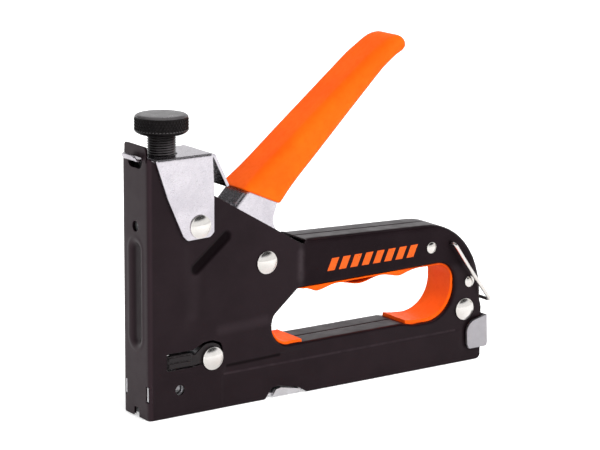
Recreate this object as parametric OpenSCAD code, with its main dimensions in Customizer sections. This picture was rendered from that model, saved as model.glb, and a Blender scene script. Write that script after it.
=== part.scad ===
// Squeeze-lever hand staple gun, in millimetres.
// +Z up, +X from the nose to the tail, Y across. The origin is at the middle of
// the length and width, on the plane the base rests on.
// Pieces are drawn with x = 0 on the nose face, and place() moves them to the origin.

/* [Body] */
// Width over the folded sheet sides
body_w = 20.3; // [20.1:0.1:21.5]
// Thickness of the body sheet
sheet_t = 1.2; // [1.1:0.05:1.3]
// Length from the nose face to the rear face
body_l = 172.5; // [171.5:0.1:173]
// Height of the front corner of the sides
nose_h = 109.6; // [109:0.1:110]
// Height of the tab on the front wall
front_tab_h = 114; // [112:0.5:116]
// Gap of the seam between the two folded halves
seam = 0.3; // [0.2:0.1:0.8]

/* [Tension screw] */
// Diameter of the knurled knob
knob_d = 22.4; // [20:0.2:24]
// Height of the knob's head
knob_h = 8; // [6:0.5:10]
// Screw diameter (fine thread)
screw_d = 12; // [11:0.5:12]
// Screw pitch
screw_pitch = 1; // [1:0.25:1.5]
// Length of screw showing above the bracket
screw_show = 8.4; // [7:0.2:10]
// Distance of the screw axis behind the nose face
screw_x = 12.7; // [12.5:0.1:13]

/* [Lever] */
// Width over the lever's folded sides
lever_w = 16.4; // [16:0.1:16.6]
// Lever sheet thickness
lever_t = 1.4; // [1.2:0.1:1.6]
// Width of the grip sleeve
sleeve_w = 21.4; // [20:0.2:23]

/* [Rivets] */
// Large rivet head diameter
rivet_d = 9.8; // [9:0.1:10]
// Large rivet head height
rivet_h = 1.9; // [1.5:0.1:2.2]
// Small rivet head diameter
small_rivet_d = 5; // [5:0.1:6]
// Large rivet shank radius
shank_r = 2.4; // [2:0.1:2.6]

/* [Magazine] */
// Half width of the core rail that the staples straddle
core_hw = 4.8; // [4.7:0.05:4.85]
// Height of the core rail's top above the base
core_top = 14.2; // [13.8:0.1:14.4]
// Guide rod diameter
rod_d = 3.2; // [3:0.1:3.4]

/* [Wire bail] */
// Wire diameter
wire_d = 1.5; // [1.3:0.1:1.5]
// Distance of the legs' centres from the middle plane
bail_y = 12.7; // [12.7:0.1:13.2]

/* [Hidden] */

// distances from the middle plane
side_out = body_w / 2;
side_in = side_out - sheet_t;
lever_out = lever_w / 2;
lever_in = lever_out - lever_t;
guide_in = 7.75;          // nose guide plates
guide_out = side_in - 0.1;

// overall length, from the bracket's tongue to the joint balls of the bail
tongue_x = -3.4;
bail_x = 175.6;           // the bail's crossbar
joint_extra = 0.03;       // the balls' radius over the wire's
mid_x = (tongue_x + bail_x + wire_d / 2 + joint_extra) / 2;

// bracket and tension screw
plate_z = 107.6;          // underside of the bracket's top plate
plate_t = 1.2;
plate_top = plate_z + plate_t;
cheek_in = side_out + 0.05;
cheek_out = cheek_in + plate_t;
screw_hole_r = screw_d / 2 + 0.06;
seat_z = 96;              // top of the spring seat, where the screw presses
seat_base = 94.8;

// plunger
guide_top = 50.2;         // top of the nose guide, under the bumper
shoe_z = 56;
shoe_t = 1.2;
spring_boss_r = 3.6;      // bosses that centre the main spring

// magazine
rod_z = 8.4;              // axis of the guide rod
rod_front = 20;
rod_hole_d = rod_d + 0.1;
core_front = 4.2;
core_rear = 173.9;
pusher_front = 4.3;
pusher_rear = 33;

// pins and rivets
slack = 0.05;             // running clearance on the pins
rivet_gap = 0.02;         // under the rivet heads
shank_hole_r = shank_r + slack;
pivot_shank_r = 3;
pivot_hole_r = pivot_shank_r + slack;
small_shank_r = 1.5;
small_hole_r = small_shank_r + slack;
claw_pin_r = 2;

// rivet and pivot centres, [x, z]
bracket_at = [24, 79.2];
pivot_at = [57.6, 59.4];
nose_at = [30.6, 22.3];
rear_at = [163, 24.1];
grip_at = [[144.3, 54.3], [165.4, 36.4]];
claw_at = [37.2, 51.2];
bail_at = [155.1, 55.1];
nose_hole_at = [14.8, 11.1];

// colours used by several pieces
rivet_colour = [0.8, 0.78, 0.76];
pale_zinc = [0.84, 0.83, 0.86];
grey_steel = [0.6, 0.6, 0.62];
orange = [1, 0.42, 0.08];

// ---------- outlines ----------
// Side views as corners [x, z, corner radius], anticlockwise with +X to the right.
// side of the body, bend of the flanges included, from the front foot
body_corners = [
    [0, 0, 0.8], [57, 0, 0.8], [60.2, 4.4, 1], [63, 5, 1.2], [73.6, 2.9, 1.2], [78.2, 0, 0.8],
    [body_l, 0, 2.2], [body_l, 43.8, 35.5], [155.9, 63.7, 28.5], [77.4, 66.5, 0.6],
    [77.1, 64.6, 0], [74.4, 65.7, 0], [0, nose_h, 0]];
// the flange band follows this outline (no notch under it)
flange_corners = [
    [0, 0, 0], [body_l, 0, 2.2], [body_l, 43.8, 35.5], [155.9, 63.7, 28.5], [0, 69.26, 0]];
finger_corners = [
    [60.6, 22.1, 8.5], [157.6, 22.1, 15.2], [157.6, 46.6, 8.8], [74, 45.8, 3], [60.6, 34.6, 6]];
nose_window_corners = [
    [8.5, 20, 0.4], [21.4, 20, 0], [25, 15.6, 3], [34.5, 15.6, 5], [37.8, 22, 5],
    [34.8, 29.2, 5], [26.5, 29.7, 4], [21, 27.2, 0], [8.5, 27.2, 0.4]];
nail_guide_corners = [
    [8.9, 20.15, 0.3], [21.6, 20.15, 0], [25.1, 15.8, 3], [34.4, 15.8, 5], [37.6, 22, 5],
    [34.6, 28.7, 5], [27, 29.0, 4], [21.2, 24.6, 0.6], [20.6, 26, 0.2], [8.9, 26, 0.3]];
lever_corners = [
    [43.1, 84.9, 0.8], [36, 66, 10], [31.5, 50, 5], [38, 44.5, 5], [52, 49.5, 6],
    [66.5, 51, 8], [67, 66, 6], [61.4, 76, 6], [64.1, 84.1, 2], [115.2, 134.9, 3],
    [109.5, 138.2, 3], [48.3, 90.2, 4]];
sleeve_corners = [
    [64.9, 83.3, 1.5], [117.2, 135.2, 12], [129.8, 144.9, 6], [136.2, 149.4, 3.2],
    [122, 149.0, 12], [110.5, 141.8, 18], [46.7, 91.3, 1.5]];
sleeve_bore_corners = [
    [61.4, 80.6, 0], [116.6, 135.8, 2], [110.6, 139.5, 2], [43.8, 86.8, 0]];
cheek_corners = [
    [15.9, 76, 1.5], [18, 73.8, 1.5], [28.9, 74.2, 2.6], [30.8, 76, 1.2], [30.8, 94, 0],
    [30.1, plate_top, 0.8], [2.9, plate_top, 0.8], [8.7, 92.1, 0]];
liner_tab_corners = [
    [60.8, 0.5, 0.3], [76.4, 0.5, 0.3], [74.2, 2.1, 0.6], [65, 3.9, 0.8], [62.6, 3.4, 0.6]];
cap_ear_corners = [
    [165.1, 5.6, 1.4], [174.9, 5.6, 1.2], [175.9, 7, 1], [175.3, 20.4, 0.8],
    [163.6, 17.6, 5.5], [164.2, 8, 2]];

// ---------- outline helpers ----------
function unit(v) = v / norm(v);
function point(corner) = [corner[0], corner[1]];

// the arc that rounds one corner between its neighbours
function corner_arc(corner, before, after, radius) =
    radius <= 0 ? [corner] :
    let (to_before = unit(before - corner),
         to_after = unit(after - corner),
         half_angle = acos(to_before * to_after) / 2,
         centre = corner + unit(to_before + to_after) * (radius / sin(half_angle)),
         first = corner + to_before * (radius / tan(half_angle)) - centre,
         last = corner + to_after * (radius / tan(half_angle)) - centre,
         start = atan2(first[1], first[0]),
         sweep = ((atan2(last[1], last[0]) - start + 540) % 360) - 180,
         steps = max(2, ceil(abs(sweep) / 11)))
    [for (i = [0:steps])
        let (angle = start + sweep * i / steps)
        centre + radius * [cos(angle), sin(angle)]];

// corners [x, y, radius] as a rounded outline
function rounded(corners) =
    let (n = len(corners))
    [for (i = [0:n - 1])
        for (p = corner_arc(point(corners[i]), point(corners[(i + n - 1) % n]),
                            point(corners[(i + 1) % n]), corners[i][2])) p];

// the same corners, every side moved inwards by t (corners listed anticlockwise)
function inset(corners, t) =
    let (n = len(corners))
    [for (i = [0:n - 1])
        let (corner = point(corners[i]),
             radius = corners[i][2],
             dir_in = unit(corner - point(corners[(i + n - 1) % n])),
             dir_out = unit(point(corners[(i + 1) % n]) - corner),
             normal_in = [-dir_in[1], dir_in[0]],
             normal_out = [-dir_out[1], dir_out[0]],
             moved = corner + (normal_in + normal_out) * (t / (1 + normal_in * normal_out)),
             turn = dir_in[0] * dir_out[1] - dir_in[1] * dir_out[0])
        [moved[0], moved[1], radius <= 0 ? 0 : max(0.1, radius - (turn > 0 ? t : -t))]];

// flat round-ended bar between two points
module bar(from, to, w) {
    along = unit(to - from) * (w / 2);
    side = [-along[1], along[0]];
    ends = [from - along - side, to + along - side, to + along + side, from - along + side];
    polygon(rounded([for (p = ends) [p[0], p[1], w / 2 - 0.05]]));
}

// ---------- solid helpers ----------
module place() translate([-mid_x, 0, 0]) children();

// a side-view outline given depth from y0 to y1
module side_extrude(y0, y1)
    rotate([90, 0, 0]) translate([0, 0, -y1]) linear_extrude(y1 - y0) children();
module mid_extrude(half) side_extrude(-half, half) children();
// the same on both sides of the middle plane
module side_pair(y0, y1) {
    side_extrude(y0, y1) children();
    side_extrude(-y1, -y0) children();
}

// box centred on the middle plane, from x and z
module mid_box(x, z, size) translate([x, -size[1] / 2, z]) cube(size);
// boxes on both sides of the middle plane, from x, y and z
module box_pair(x, y, z, size)
    for (corner_y = [y, -y - size[1]]) translate([x, corner_y, z]) cube(size);

module along_x(x, z) translate([x, 0, z]) rotate([0, 90, 0]) children();
module cross_cyl(at, r, y0, y1)
    translate([at[0], y0, at[1]]) rotate([-90, 0, 0]) cylinder(r = r, h = y1 - y0, $fn = 48);
module pin(at, r, half) cross_cyl(at, r, -half, half);
module tube(at, r, bore_r, half, bore_half) difference() {
    pin(at, r, half);
    pin(at, bore_r, bore_half);
}

// domed rivet head on z = 0, with a 0.4 straight edge
module dome(r, h) {
    cap_h = h - 0.4;
    ball_r = (r * r + cap_h * cap_h) / (2 * cap_h);
    intersection() {
        cylinder(r = r, h = h, $fn = 64);
        translate([0, 0, h - ball_r]) sphere(r = ball_r, $fn = 96);
    }
}
// rivet with a head on each face; face_y is the outside of the sheet
module rivet(at, head_r, head_h, shank, face_y) {
    y = face_y + rivet_gap;
    pin(at, shank, y);
    for (s = [-1, 1])
        translate([at[0], s * y, at[1]]) rotate([-s * 90, 0, 0]) dome(head_r, head_h);
}
module large_rivet(at, shank = shank_r, face_y = side_out)
    color(rivet_colour) place() rivet(at, rivet_d / 2, rivet_h, shank, face_y);

// round wire swept along a path that mostly turns about Z
module wire(path, radius, sides) {
    last = len(path) - 1;
    points = [for (i = [0:last])
        let (tangent = unit(path[min(last, i + 1)] - path[max(0, i - 1)]),
             outward = unit([tangent[1], -tangent[0], 0]),
             upward = cross(tangent, outward))
        for (j = [0:sides - 1])
            let (angle = 360 * j / sides)
            path[i] + radius * (cos(angle) * outward + sin(angle) * upward)];
    faces = concat(
        [[for (j = [sides - 1:-1:0]) j]],
        [for (i = [0:last - 1]) for (j = [0:sides - 1])
            let (k = (j + 1) % sides)
            [i * sides + j, i * sides + k, (i + 1) * sides + k, (i + 1) * sides + j]],
        [[for (j = [0:sides - 1]) last * sides + j]]);
    polyhedron(points, faces);
}
// points of a helix about Z, with seg points to a turn
function helix(r, start, turns, z0, z1, seg) =
    let (n = ceil(turns * seg))
    [for (i = [0:n])
        let (angle = start + 360 * turns * i / n)
        [r * cos(angle), r * sin(angle), z0 + (z1 - z0) * i / n]];
module coil(r, wire_r, length, turns, seg, sides)
    wire(helix(r, 0, turns, wire_r, length - wire_r, seg), wire_r, sides);

// ---------- body ----------
module nose_hole() translate(nose_hole_at) circle(d = 4.3, $fn = 32);

module side_holes() {
    for (at = [bracket_at, nose_at, rear_at]) translate(at) circle(r = shank_hole_r, $fn = 48);
    translate(pivot_at) circle(r = pivot_hole_r, $fn = 48);
    for (at = grip_at) translate(at) circle(r = small_hole_r, $fn = 32);
    nose_hole();
    translate(bail_at) circle(r = wire_d / 2 + 0.08, $fn = 32);
    polygon(rounded(nose_window_corners));
}

// diagonal groove in the sides, and upright oval rib in the front wall
module groove(w) bar([21.6, 60.3], [38.7, 74.1], w);
module front_rib(x, depth, w)
    translate([x, 0, 0]) rotate([90, 0, 90]) linear_extrude(depth) bar([0, 33.8], [0, 70], w);

// folded shell with its hollow, before the flange round the finger opening
module shell() {
    slot_end = 77.4; // rear end of the lever slot
    difference() {
        mid_extrude(side_out) polygon(rounded(body_corners));
        // hollow, open at the base, the lever slot and the magazine mouth
        mid_extrude(side_in) union() {
            polygon(rounded(inset(flange_corners, sheet_t)));
            translate([sheet_t, -9]) square([slot_end - sheet_t, 140]);
            translate([70, -9]) square([120, 33]);
        }
    }
}

// folded sheet body: front wall, two sides, flanges along the grip and round the opening
module housing() color([0.16, 0.13, 0.14]) place() {
    tab_lap = 4; // the front tab starts this far below the nose corner
    difference() {
        union() {
            shell();
            // flange round the finger opening
            mid_extrude(side_out - 0.3) polygon(rounded(inset(finger_corners, -sheet_t)));
            // upper tab of the front wall
            mid_box(0, nose_h - tab_lap,
                [sheet_t, 2 * side_in - 0.8, front_tab_h - nose_h + tab_lap]);
            // inside of the pressed rib and of the diagonal grooves
            front_rib(sheet_t - 0.1, 0.8, 8.4);
            side_pair(side_in - 0.55, side_in + 0.1) groove(5);
        }
        mid_extrude(side_out + 1) polygon(rounded(finger_corners));
        mid_extrude(side_out + 1) side_holes();
        // seam where the flanges meet
        mid_box(50, 10, [140, seam, 70]);
        // outside of the grooves and the rib
        side_pair(side_out - 0.6, side_out + 1) groove(4);
        front_rib(-1, 1.8, 7);
        // front wall: window for the tongue, round hole, notch at the foot
        mid_box(-1, 104.4, [3, 10.8, 5.9]);
        along_x(-1, 80.2) cylinder(d = 4.4, h = 3, $fn = 32);
        mid_box(-1, -1, [3, 3.8, 4.8]);
        // slots at the front corners
        box_pair(-1, 7.6, 7.6, [3, 1.9, 6.8]);
    }
}

// zinc-plated bracket that carries the tension screw
module top_bracket() color([0.86, 0.85, 0.88]) place() difference() {
    union() {
        side_pair(cheek_in, cheek_out) polygon(rounded(cheek_corners));
        mid_box(3.5, plate_z, [27, 2 * side_out + 0.2, plate_t]);
        // rear tab sloping down towards the lever
        mid_extrude(cheek_out) polygon([[29.6, plate_z], [30.3, plate_top],
            [31.2, plate_top - 0.4], [38.1, 94.7], [36.9, 94.1], [30.5, plate_z - 0.6]]);
        // tongue through the front wall
        mid_extrude(4.7) polygon([[4, plate_z], [0.5, plate_z + 0.1],
            [tongue_x, plate_z + 0.9], [tongue_x, plate_z + 2.1],
            [0, plate_z + 1.4], [4, plate_top]]);
    }
    translate([screw_x, 0, plate_z - 1]) cylinder(r = screw_hole_r, h = 4, $fn = 64);
    for (y = [side_out - 1, -side_out - 3]) cross_cyl(bracket_at, shank_hole_r, y, y + 4);
}

// square nut under the bracket
module adjuster_nut() color(grey_steel) place() {
    nut_w = 16.6;
    nut_h = 5;
    difference() {
        mid_box(screw_x - nut_w / 2, plate_z - nut_h, [nut_w, nut_w, nut_h]);
        translate([screw_x, 0, plate_z - nut_h - 1])
            cylinder(r = screw_hole_r, h = nut_h + 3, $fn = 64);
    }
}

// ---------- rivets and pivot ----------
module bracket_rivet() large_rivet(bracket_at, face_y = cheek_out);
module lever_pivot_rivet() large_rivet(pivot_at, shank = pivot_shank_r);
module nose_rivet() large_rivet(nose_at);
module rear_rivet() large_rivet(rear_at);
module grip_rivets() color(rivet_colour) place()
    for (at = grip_at) rivet(at, small_rivet_d / 2, 1.3, small_shank_r, side_out);

// tubes that hold the two sides apart
module rivet_spacers() color([0.55, 0.55, 0.57]) place() {
    for (at = [bracket_at, nose_at, rear_at])
        tube(at, 3.6, shank_hole_r, side_in - 0.02, side_in + 1);
    for (at = grip_at)
        tube(at, 2.6, small_hole_r, side_in - 0.02, side_in + 1);
}

// bearing tube of the lever
module lever_pivot_bush() color([0.5, 0.5, 0.52]) place()
    tube(pivot_at, 4.6, pivot_hole_r, lever_in - 0.1, side_in);

// torsion spring round the pivot, one leg up inside the lever and one back to the grip
module lever_return_spring() color([0.45, 0.45, 0.48]) place() {
    wire_r = 0.7;
    start = -23.6; // angles where the coils meet the legs
    end = -64.5;
    coils = helix(5.6, start, 5 + (end - start) / 360, wire_r, 8.1, 18);
    lever_leg = 26 * [sin(start), -cos(start), 0];
    grip_leg = 18 * [-sin(end), cos(end), 0];
    translate([pivot_at[0], -4.4, pivot_at[1]]) rotate([-90, 0, 0])
        wire(concat([coils[0] + lever_leg], coils, [coils[len(coils) - 1] + grip_leg]),
            wire_r, 6);
}

// ---------- nose and magazine channel ----------
// steel guide behind the blade, with tabs in the corner slots
module nose_guide() color([0.82, 0.81, 0.84]) place() {
    plate_x = 3.7;
    plate_foot = 20;
    side_pair(guide_in, guide_out) difference() {
        polygon([[1.3, 0.5], [28, 0.5], [28, 16.4], [8, 16.4], [8, 30], [7, guide_top],
            [plate_x, guide_top], [plate_x, 19], [1.3, 19]]);
        nose_hole();
    }
    side_pair(guide_in, guide_out) polygon([[0.35, 8], [1.4, 8], [1.4, 14], [0.35, 14]]);
    mid_box(plate_x, plate_foot, [1, 15.6, guide_top - plate_foot]);
    // ledges under the bumper
    box_pair(4.2, 3.6, guide_top - 1, [14, 4.2, 1]);
}

// channel that the staples run in
module magazine_liner() color(pale_zinc) place() {
    front = 4.1;
    rear = 160;
    foot = 1;
    top = 18.3;
    sheet = 1;
    side_pair(5.95, 6.95) polygon([[front, foot], [rear, foot], [rear, top], [front, top]]);
    mid_box(front, top - sheet, [rear - front, 12, sheet]);
    // feet turned outwards along the base
    side_pair(6.9, side_in - 0.1)
        polygon([[30, foot], [rear, foot], [rear, foot + sheet], [30, foot + sheet]]);
    // tabs bent out into the bottom notches
    side_pair(side_in - 0.5, side_out - 0.3) polygon(rounded(liner_tab_corners));
}

// rubber stop under the plunger
module striker_bumper() color([0.1, 0.1, 0.1]) place() {
    front = 4.85;
    foot = guide_top + 0.1;
    height = 5.6;
    box_pair(front, 4, foot, [13, 3.3, height]);
    mid_box(front, foot, [1.1, 14.6, height]);
}

// ---------- finger opening and lever ----------
// moulded liner of the finger opening, waved under the grip
module finger_grip_insert() color(orange) place() {
    // inner edge of the liner
    floor_z = 23.4;
    front_x = 61.25;
    rear_x = 156.3;
    roof_z = 45.3;
    // the wave runs forwards from wave_rear to wave_front and fades at both ends
    wave_rear = 140;
    wave_front = 78.4;
    wave_pitch = 23;
    wave = [for (i = [0:44])
        let (x = wave_rear - i * 1.4,
             fade = min(1, (wave_rear - x) / 12, (x - wave_front) / 5))
        [x, roof_z + 0.0095 * (x - 74)
            - 0.75 * fade * (1 + cos((x - 83) * 360 / wave_pitch))]];
    mid_extrude(9.35) difference() {
        polygon(rounded(inset(finger_corners, 0.08)));
        // opening, with a gap in the liner's floor from x = 76 to 131
        polygon(concat(
            [[131, floor_z]],
            corner_arc([rear_x, floor_z], [131, floor_z], [rear_x, roof_z], 14.6),
            corner_arc([rear_x, roof_z], [rear_x, floor_z], [141, 45.6], 6),
            wave,
            corner_arc([74.6, roof_z], [wave_front, 45.34], [front_x, 34.25], 2.4),
            corner_arc([front_x, 34.25], [74.6, roof_z], [front_x, floor_z], 5.4),
            corner_arc([front_x, floor_z], [front_x, 34.25], [76, floor_z], 7.6),
            [[76, floor_z], [76, 20], [131, 20]]));
    }
}

// folded lever with its front web
module squeeze_lever() color(pale_zinc) place() difference() {
    mid_extrude(lever_out) polygon(rounded(lever_corners));
    mid_extrude(lever_in) polygon([[44.2, 83.8], [49.3, 89.0], [109.6, 136.2], [125, 136],
        [125, 20], [20, 20], [20, 83.8]]);
    pin(pivot_at, pivot_hole_r, lever_out + 1);
    pin(claw_at, claw_pin_r + slack, lever_out + 1);
}

// dipped grip sleeve, closed at the tip
module lever_sleeve() color(orange) place() {
    tip_r = 8; // rounding of the tip's corners across the width
    difference() {
        mid_extrude(sleeve_w / 2) polygon(rounded(sleeve_corners));
        mid_extrude(lever_out + 0.1) polygon(rounded(sleeve_bore_corners));
        for (s = [-1, 1])
            translate([129.6, s * (sleeve_w / 2 - tip_r), 144.2])
                rotate([0, -40, 0]) translate([0, 0, -30]) difference() {
                    translate([0, s > 0 ? 0 : -tip_r - 1, 0]) cube([40, tip_r + 1, 60]);
                    translate([0, 0, -1]) cylinder(r = tip_r, h = 62, $fn = 64);
                }
    }
}

module claw_pin() color(grey_steel) place() pin(claw_at, claw_pin_r, lever_out);

// claw that reaches from the lever under the plunger
module lifting_claw() color([0.4, 0.4, 0.42]) place() difference() {
    union() {
        mid_extrude(2.2) polygon([[6.8, 53.6], [14, 51], [22, 49.2], [35, 46.6], [38, 47.4],
            [41, 50], [41, 53], [38, 55.4], [22, 54.6], [14, 55.8], [6.8, 55.8]]);
        pin(claw_at, 4.2, lever_in - 0.15);
    }
    pin(claw_at, claw_pin_r + slack, lever_out);
}

// ---------- plunger and tension screw ----------
// plate on the blade that carries the spring
module plunger_shoe() color([0.5, 0.5, 0.52]) place() {
    mid_box(3.6, shoe_z, [16.9, 15, shoe_t]);
    // tongue into the blade's slot
    mid_box(2.3, shoe_z, [1.4, 5.6, shoe_t]);
    translate([screw_x, 0, shoe_z + 1]) cylinder(r = spring_boss_r, h = 4.2, $fn = 48);
}
module striker_blade() color([0.78, 0.78, 0.8]) place() difference() {
    mid_box(2.2, 0.6, [1.2, 11, 85.4]);
    mid_box(2, shoe_z - 0.1, [2, 5.9, shoe_t + 0.2]);
}
module main_spring() color([0.5, 0.5, 0.53]) place()
    translate([screw_x, 0, shoe_z + shoe_t + 0.1])
        coil(r = 5.6, wire_r = 1.05, length = 37.3, turns = 7.5, seg = 22, sides = 8);
module upper_spring_seat() color(grey_steel) place() {
    translate([screw_x, 0, seat_base]) cylinder(r = 7.2, h = seat_z - seat_base, $fn = 64);
    translate([screw_x, 0, 91]) cylinder(r = spring_boss_r, h = 4, $fn = 48);
}

// knurled head from height foot up
module knob_head(foot) {
    knob_r = knob_d / 2;
    top = foot + knob_h;
    flutes = 36;
    difference() {
        translate([screw_x, 0, 0]) rotate_extrude($fn = 96) polygon([
            [0, foot], [knob_r - 2.2, foot], [knob_r - 0.7, foot + 0.8],
            [knob_r, foot + 2.2], [knob_r, top - 1.6], [knob_r - 1.6, top], [0, top]]);
        for (i = [0:flutes - 1])
            translate([screw_x, 0, foot - 1]) rotate(i * 360 / flutes)
                translate([knob_r + 0.15, 0, 0]) cylinder(r = 0.5, h = knob_h + 2, $fn = 16);
    }
}
// screw from the spring seat to the head, the thread drawn as rings
module tension_screw(top) {
    screw_r = screw_d / 2;
    root_r = screw_r - 0.5;
    crest_r = screw_r - 0.02;
    thread_z = 98;
    foot = seat_z + 0.05;
    thread = [for (i = [0:floor((top - thread_z - 0.5) / screw_pitch)]) for (k = [0, 1])
        [k == 0 ? root_r : crest_r, thread_z + i * screw_pitch + k * screw_pitch / 2]];
    translate([screw_x, 0, 0]) rotate_extrude($fn = 64) polygon(concat(
        [[0, foot], [screw_r - 1.2, foot], [screw_r - 0.6, seat_z + 1]],
        thread,
        [[root_r, top + 0.01], [0, top + 0.01]]));
}
module tension_knob() color([0.09, 0.09, 0.09]) place() {
    head_z = plate_top + screw_show;
    knob_head(head_z);
    tension_screw(head_z);
}

// guide lever in the nose windows
module nail_guide_lever() color([0.14, 0.12, 0.13]) place() {
    side_pair(side_in + 0.05, side_out - 0.2) difference() {
        polygon(rounded(nail_guide_corners));
        translate(nose_at) circle(r = shank_hole_r, $fn = 48);
    }
    // two raised bands of the pad
    side_pair(side_out - 0.25, side_out + 0.15)
        for (z = [20.6, 23.3]) translate([9.2, z]) square([11.2, 2.2]);
    // cross bar between the two sides
    mid_extrude(side_in + 0.2)
        polygon([[20.8, 20.6], [24.4, 20.6], [24.4, 23.6], [20.8, 23.6]]);
}

// ---------- magazine ----------
// magazine cap with an ear on each side
module rear_cap() color([0.7, 0.68, 0.72]) place() difference() {
    union() {
        side_pair(side_out + 0.25, side_out + 1.45) polygon(rounded(cap_ear_corners));
        mid_extrude(side_out + 0.3) polygon([[174.1, 5.7], [174.9, 5.7], [175.8, 7.1],
            [175.25, 20.3], [174.05, 20.1]]);
        // boss that holds the rod and the core rail
        mid_box(172.4, 4.4, [2, 7.2, 8]);
    }
    along_x(171, rod_z) cylinder(d = rod_hole_d, h = 3.01, $fn = 32);
}
module guide_rod() color([0.75, 0.75, 0.77]) place()
    along_x(rod_front, rod_z) cylinder(d = rod_d, h = core_rear - rod_front, $fn = 32);

// rail between the legs of the staples
module staple_core() color([0.8, 0.8, 0.82]) place() {
    side_pair(core_hw - 1, core_hw) polygon([[core_front, 3], [core_rear, 3],
        [core_rear, core_top], [core_front, core_top]]);
    mid_box(core_front, core_top - 1, [core_rear - core_front, 2 * core_hw - 1, 1]);
}

// saddle that pushes the staples forward
module staple_pusher() color([0.7, 0.7, 0.72]) place() {
    foot = 1.4;
    top = core_top + 1.1;
    block_x = 27; // front of the block on the rod
    block_l = pusher_rear - block_x;
    difference() {
        union() {
            side_pair(core_hw + 0.1, 5.8) polygon([[pusher_front, 3.4], [26, foot],
                [pusher_rear, foot], [pusher_rear, top], [pusher_front, top]]);
            mid_box(pusher_front, top - 1, [pusher_rear - pusher_front, 10.8, 1]);
            mid_box(block_x, foot, [block_l, 10.8, 1.3]);
            mid_box(block_x, 2, [block_l, 2 * core_hw - 2.2, 10.6]);
        }
        along_x(rod_front, rod_z) cylinder(d = rod_hole_d, h = 20, $fn = 32);
    }
}
module pusher_spring() color(grey_steel) place()
    along_x(pusher_rear + 0.1, rod_z)
        coil(r = 2.75, wire_r = 0.4, length = 139, turns = 28, seg = 12, sides = 5);

// wire loop over the tail
module wire_bail() color([0.82, 0.8, 0.8]) place() {
    wire_r = wire_d / 2;
    path = [bail_at, [163.2, 43.6], [bail_x, 27]]; // leg in side view, [x, z]
    for (s = [-1, 1]) {
        // end turned in through the side
        translate([bail_at[0], s * bail_y, bail_at[1]]) rotate([s * 90, 0, 0])
            cylinder(r = wire_r, h = bail_y - side_in + 0.6, $fn = 32);
        for (i = [0, 1]) {
            step = path[i + 1] - path[i];
            translate([path[i][0], s * bail_y, path[i][1]])
                rotate([0, 90 - atan2(step[1], step[0]), 0])
                    cylinder(r = wire_r, h = norm(step), $fn = 32);
        }
        for (at = path)
            translate([at[0], s * bail_y, at[1]]) sphere(r = wire_r + joint_extra, $fn = 32);
    }
    pin(path[2], wire_r, bail_y);
}

housing();
top_bracket();
adjuster_nut();
bracket_rivet();
lever_pivot_rivet();
nose_rivet();
rear_rivet();
grip_rivets();
rivet_spacers();
lever_pivot_bush();
lever_return_spring();
nose_guide();
magazine_liner();
striker_bumper();
finger_grip_insert();
squeeze_lever();
lever_sleeve();
claw_pin();
lifting_claw();
plunger_shoe();
striker_blade();
main_spring();
upper_spring_seat();
tension_knob();
nail_guide_lever();
rear_cap();
guide_rod();
staple_core();
staple_pusher();
pusher_spring();
wire_bail();
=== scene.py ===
"""Hand tacker: a pressed sheet housing with a squeeze lever on top and a staple magazine below.

It stands on z = 0 with its nose facing -X and its grip running back along +X, and is
symmetric in Y. Sizes are in mm, x counted from the nose face; place() turns them into metres.
"""
import math

import bmesh
import bpy
import numpy as np
from mathutils import Matrix, Vector, kdtree
from mathutils.geometry import delaunay_2d_cdt, tessellate_polygon


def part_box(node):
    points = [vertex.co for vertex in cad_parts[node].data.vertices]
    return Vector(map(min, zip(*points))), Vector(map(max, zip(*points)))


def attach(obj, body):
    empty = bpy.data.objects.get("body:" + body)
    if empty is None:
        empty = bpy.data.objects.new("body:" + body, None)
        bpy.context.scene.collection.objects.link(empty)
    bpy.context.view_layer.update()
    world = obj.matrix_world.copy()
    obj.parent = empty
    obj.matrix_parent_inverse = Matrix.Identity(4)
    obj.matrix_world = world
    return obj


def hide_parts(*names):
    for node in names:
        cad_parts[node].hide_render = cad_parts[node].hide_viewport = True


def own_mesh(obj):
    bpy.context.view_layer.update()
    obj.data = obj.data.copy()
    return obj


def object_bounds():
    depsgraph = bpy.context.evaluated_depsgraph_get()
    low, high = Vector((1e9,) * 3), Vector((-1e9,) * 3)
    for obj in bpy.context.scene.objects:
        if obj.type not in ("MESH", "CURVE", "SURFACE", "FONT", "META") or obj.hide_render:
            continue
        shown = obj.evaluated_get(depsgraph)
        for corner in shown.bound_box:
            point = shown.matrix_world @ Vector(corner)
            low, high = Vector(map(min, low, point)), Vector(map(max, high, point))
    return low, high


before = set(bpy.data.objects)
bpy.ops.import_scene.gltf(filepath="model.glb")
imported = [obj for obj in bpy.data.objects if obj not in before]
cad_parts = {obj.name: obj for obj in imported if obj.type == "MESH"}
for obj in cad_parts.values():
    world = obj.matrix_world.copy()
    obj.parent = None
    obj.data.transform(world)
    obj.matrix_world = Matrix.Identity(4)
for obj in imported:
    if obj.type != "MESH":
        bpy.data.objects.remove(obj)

cad_lo, cad_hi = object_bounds()
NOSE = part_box("housing")[0].x  # x of the nose face, m
MM = 0.001


def place(x, y, z):
    return (NOSE + x * MM, y * MM, z * MM)


HALF_W, SHEET = 10.15, 1.2  # outer half width and sheet thickness of the housing
HALF_IN = HALF_W - SHEET
BODY_LEN = 172.5
KNOB_X = 12.7               # upright axis of knob, screw and main spring
ROD_Z = 8.4                 # height of the pusher spring and its rod

# centres of rivets and pins (x, z)
CENTRES = {
    "bracket": (24, 79.2), "pivot": (57.6, 59.4), "nose": (30.6, 22.3), "rear": (163, 24.1),
    "grip1": (144.3, 54.3), "grip2": (165.4, 36.4), "claw": (37.2, 51.2), "bail": (155.1, 55.1),
}

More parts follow.
